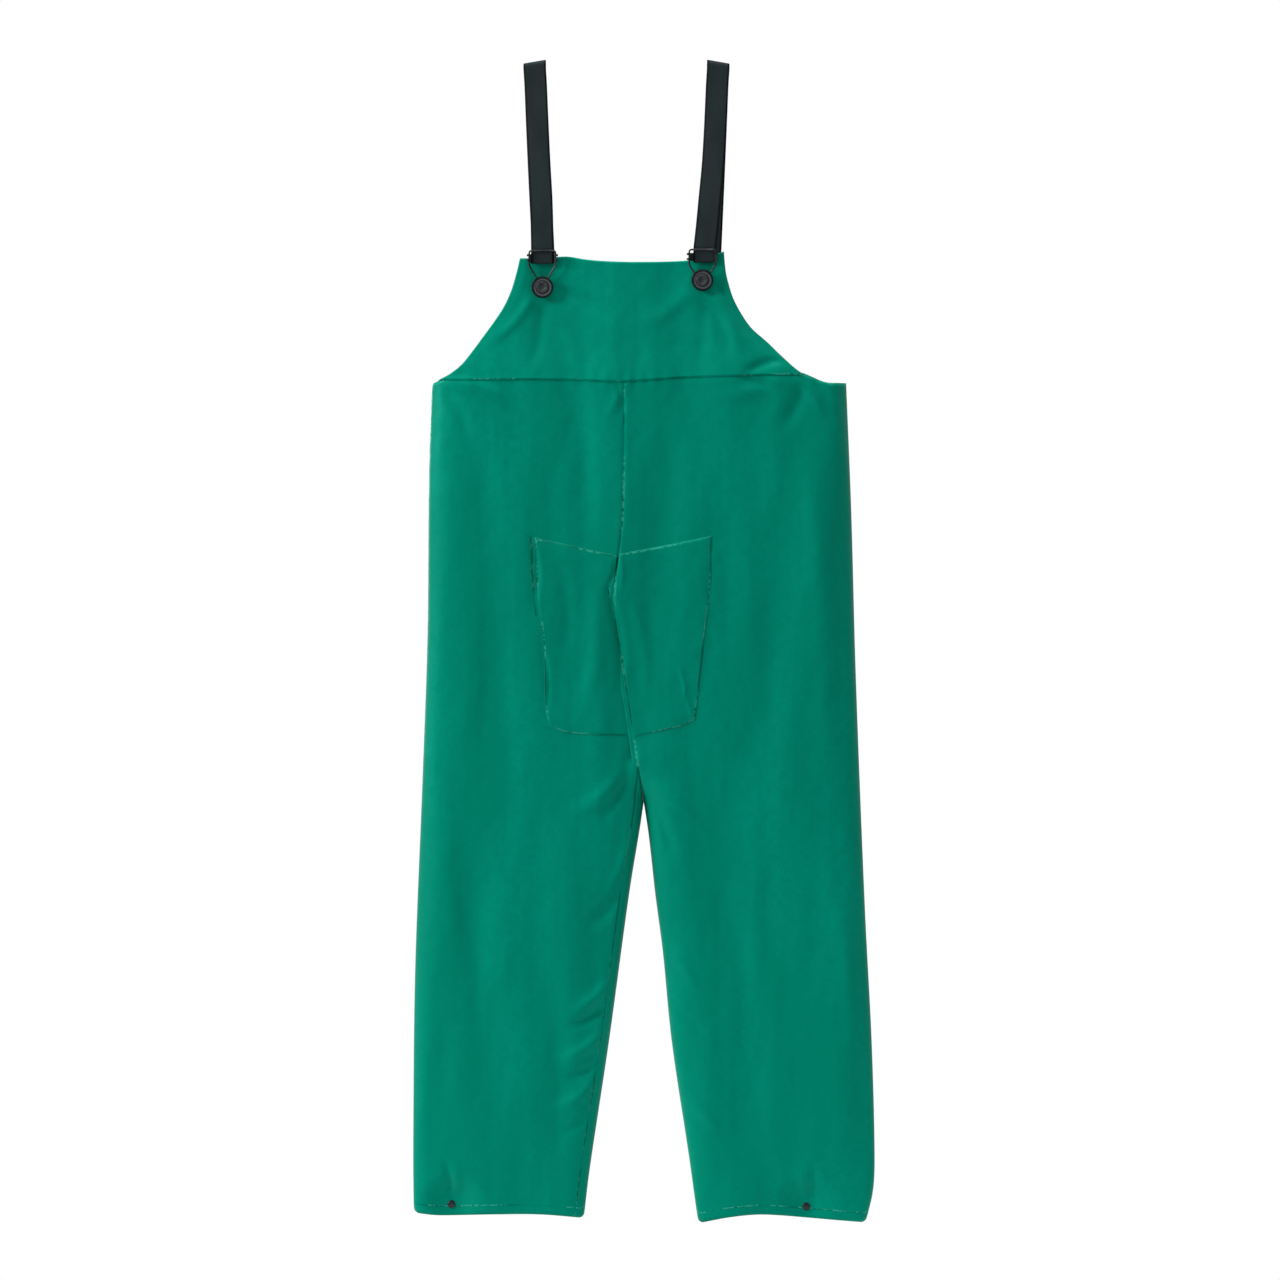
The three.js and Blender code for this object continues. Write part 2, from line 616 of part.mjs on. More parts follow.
/** The closed snap at a leg's hem. */
function ankleSnap(name, side) {
  const place = new THREE.Group();
  place.position.set(side.snap[0], 0, side.snap[1]);
  for (const [part, outline] of Object.entries(snapPieces())) {
    place.add(piece(`${name}_${part}`, turned(outline, 20), SNAP_DARK));
  }
  return place;
}

const overalls = new THREE.Group();
overalls.add(piece("front_bib", frontBib(), PVC_GREEN));
for (const [name, side] of Object.entries(SIDES)) {
  overalls.add(
    piece(`${name}_hip_panel`, hipPanel(side), PVC_GREEN),
    piece(`${name}_leg_tube`, legTube(side), PVC_GREEN),
    piece(`${name}_crotch_patch`, crotchPatch(side), PATCH_GREEN),
    piece(`${name}_button_patch`, buttonPatch(side), PATCH_GREEN),
    piece(`${name}_back_patch`, backPatch(side), PATCH_GREEN),
    piece(`${name}_strap`, strap(side), ELASTIC),
    fastening(name, side),
    ankleSnap(name, side),
  );
}

export default overalls;
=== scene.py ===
# %% [markdown]
# # PVC bib overalls on their braces
# A rain bib hangs by two elastic braces. It is cut from few pieces: a bib, two halves that each wrap from
# the front seam round to the back seam and run down a leg, and some reinforcement patches. This lesson
# makes each of them as one sheet of cloth on a grid, because a sheet that is cut and folded like the real
# one also wrinkles like it.

# %% Load the frame
import json
import math

import bmesh
import bpy
import numpy as np
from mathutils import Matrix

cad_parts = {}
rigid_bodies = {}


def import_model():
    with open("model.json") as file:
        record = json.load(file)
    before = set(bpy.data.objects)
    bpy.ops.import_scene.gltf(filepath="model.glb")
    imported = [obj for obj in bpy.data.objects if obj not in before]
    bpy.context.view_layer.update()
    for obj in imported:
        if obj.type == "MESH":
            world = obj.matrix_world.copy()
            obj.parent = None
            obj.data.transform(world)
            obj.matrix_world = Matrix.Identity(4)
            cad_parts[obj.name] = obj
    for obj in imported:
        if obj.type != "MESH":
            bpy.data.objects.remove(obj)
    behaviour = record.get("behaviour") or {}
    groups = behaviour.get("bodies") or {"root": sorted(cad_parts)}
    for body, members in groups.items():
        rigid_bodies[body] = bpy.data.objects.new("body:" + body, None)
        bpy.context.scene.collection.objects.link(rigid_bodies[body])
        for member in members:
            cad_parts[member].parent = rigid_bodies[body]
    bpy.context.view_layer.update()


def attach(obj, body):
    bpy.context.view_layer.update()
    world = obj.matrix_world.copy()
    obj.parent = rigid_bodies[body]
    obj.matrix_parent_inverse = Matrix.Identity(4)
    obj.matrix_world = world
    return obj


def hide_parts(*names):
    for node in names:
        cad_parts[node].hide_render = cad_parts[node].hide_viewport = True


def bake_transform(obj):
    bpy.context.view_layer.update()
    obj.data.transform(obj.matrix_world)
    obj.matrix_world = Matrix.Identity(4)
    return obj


for leftover in [o for o in bpy.data.objects if o.name in ("Cube", "Camera", "Light")]:
    bpy.data.objects.remove(leftover)
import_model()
MM = 0.001

# %% [markdown]
# ## The camera
# A long thin garment is best seen straight on, with a long lens from far away, so that the bib and the hems
# are seen at the same angle. The view is 1702 mm wide where the garment hangs.

# %% Camera
VIEW_WIDTH = 1.702
CAMERA_DISTANCE = 12.0
CAMERA_X, CAMERA_Z = 0.018, -0.769
SENSOR = 36
camera_data = bpy.data.cameras.new("camera")
camera_data.sensor_width = SENSOR
camera_data.lens = SENSOR * CAMERA_DISTANCE / VIEW_WIDTH
camera = bpy.data.objects.new("camera", camera_data)
camera.location = (CAMERA_X, -CAMERA_DISTANCE, CAMERA_Z)
camera.rotation_euler = (math.pi / 2, 0, 0)
bpy.context.collection.objects.link(camera)
bpy.context.scene.camera = camera
print("lens", round(camera_data.lens), "mm")

# %% [markdown]
# ## Making a mesh from a grid
# Nearly every piece here is a grid of points: columns round it, rows along it. One helper turns such a grid
# into quads. It also turns the faces outwards: it adds up, over all faces, the flow of (centre - inside)
# through them, and flips the faces if the sum is negative. Numbers such as the distance to a seam are kept
# at the points as marks, and the materials read them.

# %% Grid to mesh
def join_grid(columns, rows, close_columns, close_rows):
    """Corner numbers of the quads of a grid: each joins (i, j), (i, j + 1), (i + 1, j + 1) and (i + 1, j)."""
    index = np.arange(columns * rows).reshape(columns, rows)
    if close_columns:
        index = np.vstack([index, index[:1]])
    if close_rows:
        index = np.hstack([index, index[:, :1]])
    corners = [index[:-1, :-1], index[:-1, 1:], index[1:, 1:], index[1:, :-1]]
    return np.stack(corners, -1).reshape(-1, 4)


def outward(points, quads, inside):
    """The quads, turned over if the flow of (face centre - inside) through them is inwards. A face's normal
    times its area is half the cross product of its diagonals."""
    a, b, c, d = (points[quads[:, k]] for k in range(4))
    normal = np.cross(c - a, d - b) / 2
    flow = ((a + b + c + d) / 4 - inside) * normal
    return quads[:, ::-1] if flow.sum() < 0 else quads


def make_mesh(name, points, quads, uv=None, marks=None):
    """A smooth mesh object from points and quads, with uv at each point, all in millimetres; marks are
    numbers kept at the points."""
    mesh = bpy.data.meshes.new(name)
    mesh.vertices.add(len(points))
    mesh.vertices.foreach_set("co", (points * MM).astype(np.float32).ravel())
    mesh.loops.add(quads.size)
    mesh.loops.foreach_set("vertex_index", quads.astype(np.int32).ravel())
    mesh.polygons.add(len(quads))
    mesh.polygons.foreach_set("loop_start", np.arange(0, quads.size, 4, dtype=np.int32))
    mesh.polygons.foreach_set("use_smooth", np.ones(len(quads), bool))
    if uv is not None:
        layer = mesh.uv_layers.new(name="cut")
        layer.data.foreach_set("uv", (uv[quads.ravel()] * MM).astype(np.float32).ravel())
    for key, values in (marks or {}).items():
        mark = mesh.attributes.new(key, "FLOAT", "POINT")
        mark.data.foreach_set("value", np.broadcast_to(values, len(points)).astype(np.float32).ravel())
    mesh.update(calc_edges=True)
    piece = bpy.data.objects.new(name, mesh)
    bpy.context.collection.objects.link(piece)
    return piece


def merge_points(piece):
    """Joins points that lie on each other, as at a pole or a closed end, and drops the faces that vanish."""
    work = bmesh.new()
    work.from_mesh(piece.data)
    bmesh.ops.remove_doubles(work, verts=work.verts, dist=2e-6)
    bmesh.ops.dissolve_degenerate(work, edges=work.edges, dist=1e-7)
    work.to_mesh(piece.data)
    work.free()
    return piece


def grid_piece(name, grid, inside=None, close_columns=False, close_rows=False, uv=None, marks=None):
    """A piece from grid[column, row] = (x, y, z) in millimetres."""
    points = grid.reshape(-1, 3)
    quads = join_grid(*grid.shape[:2], close_columns, close_rows)
    quads = outward(points, quads, points.mean(0) if inside is None else np.array(inside, float))
    flat_uv = None if uv is None else uv.reshape(-1, 2)
    flat_marks = {k: np.broadcast_to(v, grid.shape[:2]).ravel() for k, v in (marks or {}).items()}
    return make_mesh(name, points, quads, flat_uv, flat_marks)


def thicken(piece, thick):
    """Gives a sheet its thickness inwards from the face that is seen."""
    wall = piece.modifiers.new("thickness", "SOLIDIFY")
    wall.thickness = thick * MM
    wall.offset = -1
    wall.use_even_offset = False
    return piece


def dress(piece, material):
    """Gives a piece its material."""
    piece.data.materials.append(material)
    return piece


# %% [markdown]
# ## A few curves
# The garment's outline is a handful of smooth curves: edges, seams and hems. Each is drawn through a few
# points and worked out as whole arrays, so a column of a thousand heights costs one call.

# %% Smooth curves
def profile(points):
    """A smooth curve v(z) through a few (z, v) points listed from the top down: between two of them it is
    the cubic that leaves and arrives with the mean slope of the neighbours on both sides."""
    z, v = np.array(points, float).T
    last = len(z) - 1
    before, after = np.maximum(np.arange(last + 1) - 1, 0), np.minimum(np.arange(last + 1) + 1, last)
    slope = (v[after] - v[before]) / (z[after] - z[before])

    def curve(at):
        at = np.asarray(at, float)
        i = np.searchsorted(-z[1:-1], -at)
        span = z[i + 1] - z[i]
        t = np.clip((at - z[i]) / span, 0, 1)
        start = v[i] * (1 + 2 * t) + span * slope[i] * t
        end = v[i + 1] * (3 - 2 * t) + span * slope[i + 1] * (t - 1)
        return start * (1 - t) ** 2 + end * t**2

    return curve


def rise(value, low, high):
    """0 below low, 1 above high, and the smooth 3t^2 - 2t^3 between them."""
    t = np.clip((np.asarray(value, float) - low) / (high - low), 0, 1)
    return t * t * (3 - 2 * t)


def blend_to(a, b, share):
    return a + (b - a) * share


# %% The garment's outline
BIB_TOP, WAIST, CROTCH = -262, -424, -986
CROTCH_ROUNDING = 60
LEG_HINGE = -1040
FOLD_LENGTH = 62
FOLD_POWER = 2.5
CLOTH = 0.6
PINCH_HALF, PINCH_FLAT, PINCH_REACH = 3.55, 8, 46
HEM_WELD = 12

centre_seam = profile([(-424, -3), (-600, -5), (-720, -16.5), (-802, -5), (-894, 9), (-986, 23)])
depth = profile([(-424, 32), (-600, 34), (-800, 33), (-986, 30), (-1200, 26), (-1400, 20), (-1544, 12)])

SIDES = {
    "right": dict(
        sign=-1,
        outer=profile([(-424, -259), (-560, -263), (-760, -264.5), (-950, -271), (-1210, -281),
                       (-1430, -283.5), (-1515, -283), (-1540, -281.5)]),
        inner=profile([(-986, 22.7), (-1018, 18), (-1104, 4), (-1301, -23), (-1474, -49), (-1540, -57)]),
        hem=profile([(0, -1537), (-0.25, -1532.2), (-0.55, -1532), (-0.85, -1533.5), (-1, -1530)]),
        armhole=profile([(-262, -141.5), (-281, -146), (-305, -153), (-327, -163), (-345.5, -175),
                         (-368, -191.3), (-390, -207.6), (-404.6, -219.8), (-417, -236), (-424, -250)]),
        strap_front=profile([(0, -122), (-124, -116.5), (-187, -113), (-226, -112), (-250, -111.6)]),
        strap_back=profile([(0, -122), (-124, -117), (-250, -111), (-424, -103.5), (-466, -103)]),
        waist_corner=(0.84, 1.04, -431),
        button=(-111.6, -300.8),
        buckle_drop=0,
        buckle_stand_off=2.8,
        snap=(-232.6, -1519),
        patch=profile([(-633, -122), (-700, -119.4), (-776, -110.5), (-864, -107), (-894, -98)]),
        patch_top=profile([(0, -657.5), (-1, -633)]),
        patch_bottom=profile([(0, -897), (-0.8, -893), (-1, -884)]),
    ),
    "left": dict(
        sign=1,
        outer=profile([(-424, 292), (-600, 299), (-817, 305), (-1124, 317), (-1301, 326), (-1450, 330),
                       (-1500, 328), (-1544, 318)]),
        inner=profile([(-986, 23.3), (-1032, 30), (-1104, 38), (-1185, 48.5), (-1301, 60), (-1455, 83),
                       (-1530, 93.5), (-1544, 96)]),
        hem=profile([(0, -1544), (-0.2, -1535.5), (-0.38, -1532.3), (-0.65, -1536.5), (-1, -1543)]),
        armhole=profile([(-254, 129.5), (-280, 132), (-299, 136.5), (-317, 142.5), (-339, 154.5), (-356, 167),
                         (-374, 187.3), (-390, 203.6), (-408.6, 224), (-417, 236), (-424, 250)]),
        strap_front=profile([(0, 122), (-124, 116), (-187, 110.3), (-226, 106.5), (-250, 103.8)]),
        strap_back=profile([(0, 122), (-124, 117), (-250, 111.5), (-424, 104), (-466, 103)]),
        waist_corner=(0.77, 0.93, -427.8),
        button=(100.8, -291.3),
        buckle_drop=8,
        buckle_stand_off=3.8,
        snap=(239, -1522),
        patch=profile([(-633, 113.5), (-690, 112.7), (-762, 104.5), (-853, 94.4), (-894, 88)]),
        patch_top=profile([(0, -655), (-1, -631)]),
        patch_bottom=profile([(0, -898), (-0.8, -884), (-1, -876)]),
    ),
}


def closing(z):
    """0 in the body, 1 in the leg: how far a half's section has closed at its inner end."""
    return rise(CROTCH + CROTCH_ROUNDING - np.asarray(z, float), 0, CROTCH_ROUNDING)


def inner_end(side, z):
    """The centre seam, and below the crotch the leg's inner edge."""
    return np.where(z > CROTCH, centre_seam(z) + side["sign"] * 0.05, side["inner"](z))


def half_depth(side, x, z):
    """Half the thickness of the hanging garment at (x, z). It is the depth at that height, rounded towards
    a folded edge as (1 - (1 - u)^p)^(1/p), with u the distance to the edge over the fold's length, and
    drawn together at the ankle snap."""
    from_outer = np.clip(np.abs(side["outer"](z) - x) / FOLD_LENGTH, 0, 1)
    from_inner = np.clip(np.abs(x - inner_end(side, z)) / FOLD_LENGTH, 0, 1)
    outer_fold = (1 - (1 - from_outer) ** FOLD_POWER) ** (1 / FOLD_POWER)
    inner_fold = (1 - closing(z) * (1 - from_inner) ** FOLD_POWER) ** (1 / FOLD_POWER)
    relaxed = depth(z) * outer_fold * inner_fold
    from_snap = np.hypot(x - side["snap"][0], z - side["snap"][1])
    pinch = 1 - rise(from_snap, PINCH_FLAT, PINCH_REACH)
    return blend_to(relaxed, np.minimum(relaxed, PINCH_HALF), pinch)


def bib_y(x, z):
    """Y of the bib's face: 14 mm forward at the top edge, and the garment's own front at the waist."""
    side_depth = np.where(
        x < centre_seam(WAIST), half_depth(SIDES["right"], x, WAIST), half_depth(SIDES["left"], x, WAIST)
    )
    down = np.clip((BIB_TOP - z) / (BIB_TOP - WAIST), 0, 1)
    return blend_to(-14, -side_depth, down**1.3)


print("waist", centre_seam(-424) - SIDES["right"]["outer"](-424) + SIDES["left"]["outer"](-424), "mm")

# %% [markdown]
# ## Wrinkles
# Stiff coated cloth doesn't crumple; it makes long, soft, mostly upright folds, and short sharp ones where
# something pulls: at the buttons, the armhole corners, the crotch and the knees. A simulation gives folds
# where it likes, so these are listed, each as a ridge along a line, and a sum of slow waves moves
# the cloth between them. Under the braces' ends the cloth is stitched flat.

# %% Folds and creases
FRONT_DEPTH, BACK_DEPTH = 1.8, 1.35
SLOW_WAVE, PUCKER = 0.5, 0.05
WAIST_PUCKER, INSEAM_PUCKER = 0.6, 0.9
FRONT_CREASES = np.array([
    # x0, z0, x1, z1, half width, height (mm, outwards)
    (-112, -318, -128, -408, 8, -0.9), (-104, -318, -62, -415, 10, 0.9), (-124, -312, -176, -372, 7, 1.1),
    (-96, -300, -20, -345, 10, -0.9), (101, -308, 92, -410, 9, -0.8), (106, -306, 150, -376, 8, 1.5),
    (90, -300, 18, -352, 11, 0.9), (118, -300, 141, -330, 4, -0.9), (-240, -428, -150, -452, 8, 1.5),
    (-246, -430, -205, -510, 8, -1.3), (226, -420, 262, -470, 7, 1.9), (236, -424, 205, -492, 8, -1.6),
    (270, -428, 284, -520, 6, 1.2), (205, -424, 120, -446, 8, 0.9), (-25, -700, -9, -838, 6, -1.9),
    (-44, -700, -58, -868, 12, 1.4), (2, -700, 26, -860, 10, 1.1), (-126, -632, -121, -722, 3.5, -1.5),
    (-114, -765, -108, -880, 3, -0.9), (109, -700, 99, -850, 2.5, -0.8), (115, -640, 112, -735, 3, 1.0),
    (70, -805, 78, -849, 3, 0.9), (78, -849, 88, -872, 3, 0.8), (-90, -660, -84, -800, 10, -1.0),
    (-15, -664, -25, -700, 2.4, -1.1), (-25, -700, -17, -724, 2.2, -1.1), (-9, -650, -8, -705, 2.4, 0.9),
    (-3, -426, -26, -470, 6, 1.0), (-14, -424, -6, -470, 4, -1.1), (150, -424, 204, -437, 5, -1.5),
    (158, -414, 214, -396, 6, -1.7), (112, -318, 136, -404, 10, -1.3), (10, -905, -34, -1010, 8, -2.2),
    (14, -925, -72, -1002, 9, 1.9), (20, -985, -22, -1100, 7, 2.1), (24, -975, 62, -1060, 8, -1.7),
    (28, -960, 96, -1008, 9, 1.5), (2, -1090, -52, -1150, 8, -1.7), (-24, -1225, -70, -1262, 6, 2.6),
    (-28, -1255, -78, -1283, 6, -2.5), (-30, -1290, -88, -1328, 7, 2.6), (-36, -1330, -84, -1352, 6, -2.4),
    (-38, -1352, -96, -1394, 7, 2.3), (-44, -1398, -92, -1424, 5, -1.4), (52, -1180, 96, -1236, 7, 1.3),
    (60, -1262, 104, -1296, 6, -1.2), (72, -1376, 122, -1420, 7, 1.3), (-182, -1120, -160, -1470, 26, 1.8),
    (-118, -1180, -102, -1500, 19, -1.6), (-236, -1080, -240, -1440, 14, 1.2),
    (206, -1050, 196, -1500, 28, 1.8), (132, -1100, 152, -1490, 20, -1.5),
    (268, -1060, 286, -1470, 17, 1.3), (-205, -470, -212, -1000, 20, -1.5),
    (-148, -480, -158, -960, 26, 1.6), (-70, -440, -62, -640, 17, -1.2), (62, -440, 78, -640, 20, 1.2),
    (150, -470, 168, -980, 26, -1.5), (228, -500, 246, -1010, 20, 1.6),
    (-241, -1462, -236.5, -1512, 3.5, -1.5), (-226, -1470, -230, -1512, 4, 1.0),
    (247, -1466, 243, -1512, 3.5, -1.5), (232, -1474, 236, -1512, 4, 1.0),
])
BACK_CREASES = np.array([
    (-104, -440, -120, -560, 12, -1.6), (-96, -440, -52, -540, 12, 1.5), (104, -440, 118, -560, 12, -1.6),
    (98, -440, 56, -548, 12, 1.5), (-24, -690, -40, -880, 14, 1.8), (20, -640, 36, -860, 14, -1.7),
    (8, -900, -60, -1000, 10, 2.1), (22, -940, 84, -1010, 10, 2.0), (16, -985, -30, -1100, 9, -2.0),
    (30, -990, 70, -1090, 9, -1.8), (-200, -520, -190, -980, 26, 1.7), (190, -500, 205, -990, 28, -1.7),
    (-238, -700, -238, -1100, 16, -1.2), (262, -640, 268, -1040, 18, 1.3),
    (-150, -1060, -138, -1480, 26, -1.8), (-222, -1100, -232, -1450, 20, 1.5),
    (170, -1080, 178, -1500, 26, 1.8), (262, -1090, 278, -1450, 20, -1.5), (-40, -1210, -96, -1248, 7, 1.7),
    (-46, -1290, -100, -1322, 7, -1.6), (84, -1240, 140, -1284, 8, 1.6), (92, -1340, 146, -1372, 8, -1.5),
])


def ridges(x, z, creases):
    """Sum over the creases of height times exp(-(distance to the line / width)^2), fading out over its
    ends."""
    total = np.zeros(np.broadcast(x, z).shape)
    for x0, z0, x1, z1, width, height in creases:
        length = math.hypot(x1 - x0, z1 - z0)
        along = ((x - x0) * (x1 - x0) + (z - z0) * (z1 - z0)) / length**2
        bow = 0.06 * length * np.sin(np.clip(along, 0, 1) * math.pi)
        across = ((x - x0) * (z1 - z0) - (z - z0) * (x1 - x0)) / length + bow
        ends = rise(along, -0.12, 0.25) * (1 - rise(along, 0.6, 1.15))
        total += height * ends * np.exp(-((across / width) ** 2))
    return total


def slow_waves(x, z, seed):
    """A sum of eight sine waves, 70 to 200 mm long across the cloth and four to nine times longer down it."""
    random = np.random.default_rng(seed)
    total = np.zeros(np.broadcast(x, z).shape)
    for _ in range(8):
        across = random.uniform(70, 200)
        down = across * random.uniform(4, 9) * random.choice([-1, 1])
        total += SLOW_WAVE * np.sin(2 * math.pi * (x / across + z / down) + random.uniform(0, 2 * math.pi))
    return total


def puckers(x, z, seed):
    """Fine unevenness of the coated cloth: nine waves of 16 to 44 mm in all directions."""
    random = np.random.default_rng(seed)
    total = np.zeros(np.broadcast(x, z).shape)
    for _ in range(9):
        turn, size = random.uniform(0, math.pi), random.uniform(16, 44)
        wave = x * math.cos(turn) + z * math.sin(turn) * 0.6
        total += PUCKER * np.sin(2 * math.pi * wave / size + random.uniform(0, 2 * math.pi))
    return total


def seam_puckers(x, z):
    """Short folds square to the bib's seam and to the inseam, where welding has gathered the cloth a
    little: waves of uneven length along the seam that die away within two centimetres of it."""
    wave = np.sin(x / 3.1 + 2.2 * np.sin(x / 23)) * (0.5 + 0.5 * np.sin(x / 41 + 1.3))
    across_waist = WAIST_PUCKER * wave * np.exp(-(((z + 423) / 13) ** 2))
    from_inseam = x - SIDES["right"]["inner"](np.clip(z, -1500, -1000)) + 12
    wave = np.sin((z + 0.5 * x) / 4.6 + 2.0 * np.sin(z / 31)) * (0.5 + 0.5 * np.sin(z / 57))
    along_inseam = INSEAM_PUCKER * wave * np.exp(-((from_inseam / 15) ** 2)) * rise(-z, 1000, 1060)
    return across_waist + along_inseam


def relief(x, z, back):
    """How far the cloth stands out at (x, z), in millimetres: folds, creases and puckers of that layer."""
    front = FRONT_DEPTH * ridges(x, z, FRONT_CREASES) + slow_waves(x, z, 3) + puckers(x, z, 5)
    front = front + seam_puckers(x, z)
    rear = BACK_DEPTH * ridges(x, z, BACK_CREASES) + slow_waves(x, z, 11) + puckers(x, z, 13)
    for side in SIDES.values():
        rear = rear * rise(np.hypot(x - side["strap_back"](WAIST - 20), z - WAIST + 33), 26, 80)
    return np.where(back, rear, front)


print("creases", len(FRONT_CREASES), "in front and", len(BACK_CREASES), "behind")

# %% [markdown]
# ## Building materials from nodes
# A material is a small graph: numbers and colours flow from textures into one Principled shader. These
# helpers keep the graphs short to read. A value that is the same all over is set on the shader's own
# socket.

# %% Node helpers
def add_node(tree, kind, inputs, **settings):
    """A node with its settings made and each input either set to a value or linked from another socket."""
    made = tree.nodes.new(kind)
    for key, value in settings.items():
        setattr(made, key, value)
    for key, value in inputs.items():
        if isinstance(value, bpy.types.NodeSocket):
            tree.links.new(value, made.inputs[key])
        else:
            made.inputs[key].default_value = value
    return made


def start_material(name, roughness, metallic=0.0, specular=0.5):
    """A new material and its node tree and shader."""
    material = bpy.data.materials.new(name)
    material.use_nodes = True
    shader = material.node_tree.nodes["Principled BSDF"]
    shader.inputs["Roughness"].default_value = roughness
    shader.inputs["Metallic"].default_value = metallic
    shader.inputs["Specular IOR Level"].default_value = specular
    return material, material.node_tree, shader


def maths(tree, operation, *values):
    return add_node(tree, "ShaderNodeMath", dict(enumerate(values)), operation=operation).outputs[0]


def remap(tree, value, low, high, to_low, to_high):
    """The value's place between low and high, carried smoothly to the range to_low to to_high."""
    inputs = {"Value": value, "From Min": low, "From Max": high, "To Min": to_low, "To Max": to_high}
    return add_node(tree, "ShaderNodeMapRange", inputs, interpolation_type="SMOOTHSTEP").outputs[0]


def mix(tree, share, a, b):
    inputs = {0: share, 6: a, 7: b}
    return add_node(tree, "ShaderNodeMix", inputs, data_type="RGBA").outputs[2]


def cloud(tree, place, scale, detail=2.0, stretch=(1, 1, 1)):
    """Smooth noise of the given scale at a place, drawn out along the axes by stretch."""
    drawn = add_node(tree, "ShaderNodeMapping", {"Vector": place, "Scale": stretch}).outputs[0]
    inputs = {"Vector": drawn, "Scale": scale, "Detail": detail}
    return add_node(tree, "ShaderNodeTexNoise", inputs).outputs[0]


def mark(tree, name):
    """A number that was kept at the mesh's points."""
    return add_node(tree, "ShaderNodeAttribute", {}, attribute_name=name).outputs["Fac"]


def near(tree, value, width):
    """1 where the value is 0, fading to 0 at width on both sides."""
    return remap(tree, maths(tree, "ABSOLUTE", value), 0, width, 1, 0)


def add_bump(tree, shader, height, strength=1.0):
    """Shades the surface as if it stood out by height, in metres."""
    bump = add_node(tree, "ShaderNodeBump", {"Height": height, "Distance": 1.0, "Strength": strength})
    tree.links.new(bump.outputs[0], shader.inputs["Normal"])


# %% [markdown]
# ## Coated cloth
# The cloth is polyester with a satin PVC skin. Seen close it is not one green: the skin is a little thicker
# here and thinner there, it shows the weave under it as a very fine grain, and where pieces are welded the
# hot bar leaves a darker line with pale, stressed flecks. Some dark lines are painted shade: the patches'
# lines are drawn darker than a weld alone for the shade of the folds along them, and the "pressed" line
# beside the right crotch patch is painted shade only. The lines follow distances kept at the points, so
# they bend with the cloth.

# %% PVC material
GREEN = (0.0, 0.168, 0.109, 1)
GREEN_THIN = (0.0, 0.190, 0.126, 1)
GREEN_THICK = (0.0, 0.140, 0.088, 1)
GREEN_WELD_AND_SHADE = (0.0, 0.060, 0.034, 1)
FLECK = (0.035, 0.29, 0.21, 1)


def weld_and_shade_line(tree, place, distance, width, colour, height, flecks, dark):
    """Draws a dark line along distance = 0 with pale flecks on it: a weld's groove, and for some marks
    painted shade; returns the new colour and height."""
    line = near(tree, distance, width)
    broken = remap(tree, cloud(tree, place, 22), 0.42, 0.57, 0.15, 1)
    shaded = maths(tree, "MULTIPLY", maths(tree, "MULTIPLY", line, broken), dark)
    colour = mix(tree, shaded, colour, GREEN_WELD_AND_SHADE)
    grains = remap(tree, cloud(tree, place, 210, 1), 0.42, 0.56, 0, 1)
    patches = remap(tree, cloud(tree, place, 24, 1), 0.47, 0.56, 0, flecks)
    beside = near(tree, maths(tree, "ADD", distance, -0.5), width)
    share = maths(tree, "MULTIPLY", beside, maths(tree, "MULTIPLY", grains, patches))
    colour = mix(tree, share, colour, FLECK)
    height = maths(tree, "SUBTRACT", height, maths(tree, "MULTIPLY", line, 0.00025))
    return colour, height


def coated_cloth(name, lines, shade=1.0):
    """Satin PVC with dark lines, welds and painted shade: lines is a list of (mark, half width in mm, amount
    of flecks, darkness).
    """
    material, tree, shader = start_material(name, 0.4, specular=0.22)
    place = add_node(tree, "ShaderNodeTexCoord", {}).outputs["Object"]
    base, thin, thick = ([c * shade for c in tone[:3]] + [1] for tone in (GREEN, GREEN_THIN, GREEN_THICK))
    shader.inputs["Specular Tint"].default_value = (0.0, 1.0, 0.85, 1)
    broad = remap(tree, cloud(tree, place, 7, 3, (1.6, 1, 0.45)), 0.36, 0.66, 0, 1)
    colour = mix(tree, broad, thick, thin)
    colour = mix(tree, 0.55, colour, base)
    mottle = remap(tree, cloud(tree, place, 130, 2), 0.35, 0.7, 0, 0.35)
    colour = mix(tree, mottle, colour, thick)
    crumple = maths(tree, "MULTIPLY", cloud(tree, place, 26, 3, (1.5, 1, 0.8)), 0.0011)
    grain = maths(tree, "MULTIPLY", cloud(tree, place, 900, 2), 0.00005)
    streaks = maths(tree, "MULTIPLY", cloud(tree, place, 7, 1.5, (3.0, 1, 0.35)), 0.0052)
    height = maths(tree, "ADD", maths(tree, "ADD", crumple, streaks), grain)
    for key, width, flecks, dark in lines:
        distance = mark(tree, key)
        # The "pressed" line is painted shade, not a weld: a dark band on the cloth beside the right crotch
        # patch, where the fold there is shaded; the second mark keeps it to that stretch.
        if key == "pressed":
            distance = maths(tree, "ADD", maths(tree, "ABSOLUTE", distance), mark(tree, "painted_shade_off"))
        colour, height = weld_and_shade_line(tree, place, distance, width, colour, height, flecks, dark)
    tree.links.new(colour, shader.inputs["Base Color"])
    gloss = remap(tree, cloud(tree, place, 60, 3), 0.3, 0.7, 0.36, 0.47)
    tree.links.new(gloss, shader.inputs["Roughness"])
    add_bump(tree, shader, height, 0.8)
    return material


# The panel's last line, "pressed", is painted shade beside the right crotch patch, not a weld.
panel_cloth = coated_cloth(
    "panel_cloth", [("hem_line", 1.3, 0.9, 0.6), ("side_line", 1.4, 0.35, 1.0), ("seam", 1.9, 0.5, 0.9),
                    ("pressed", 1.4, 0.3, 1.0)]
)
bib_cloth = coated_cloth("bib_cloth", [("edge", 1.5, 0.9, 0.6), ("side_line", 1.1, 0.0, 0.8)])
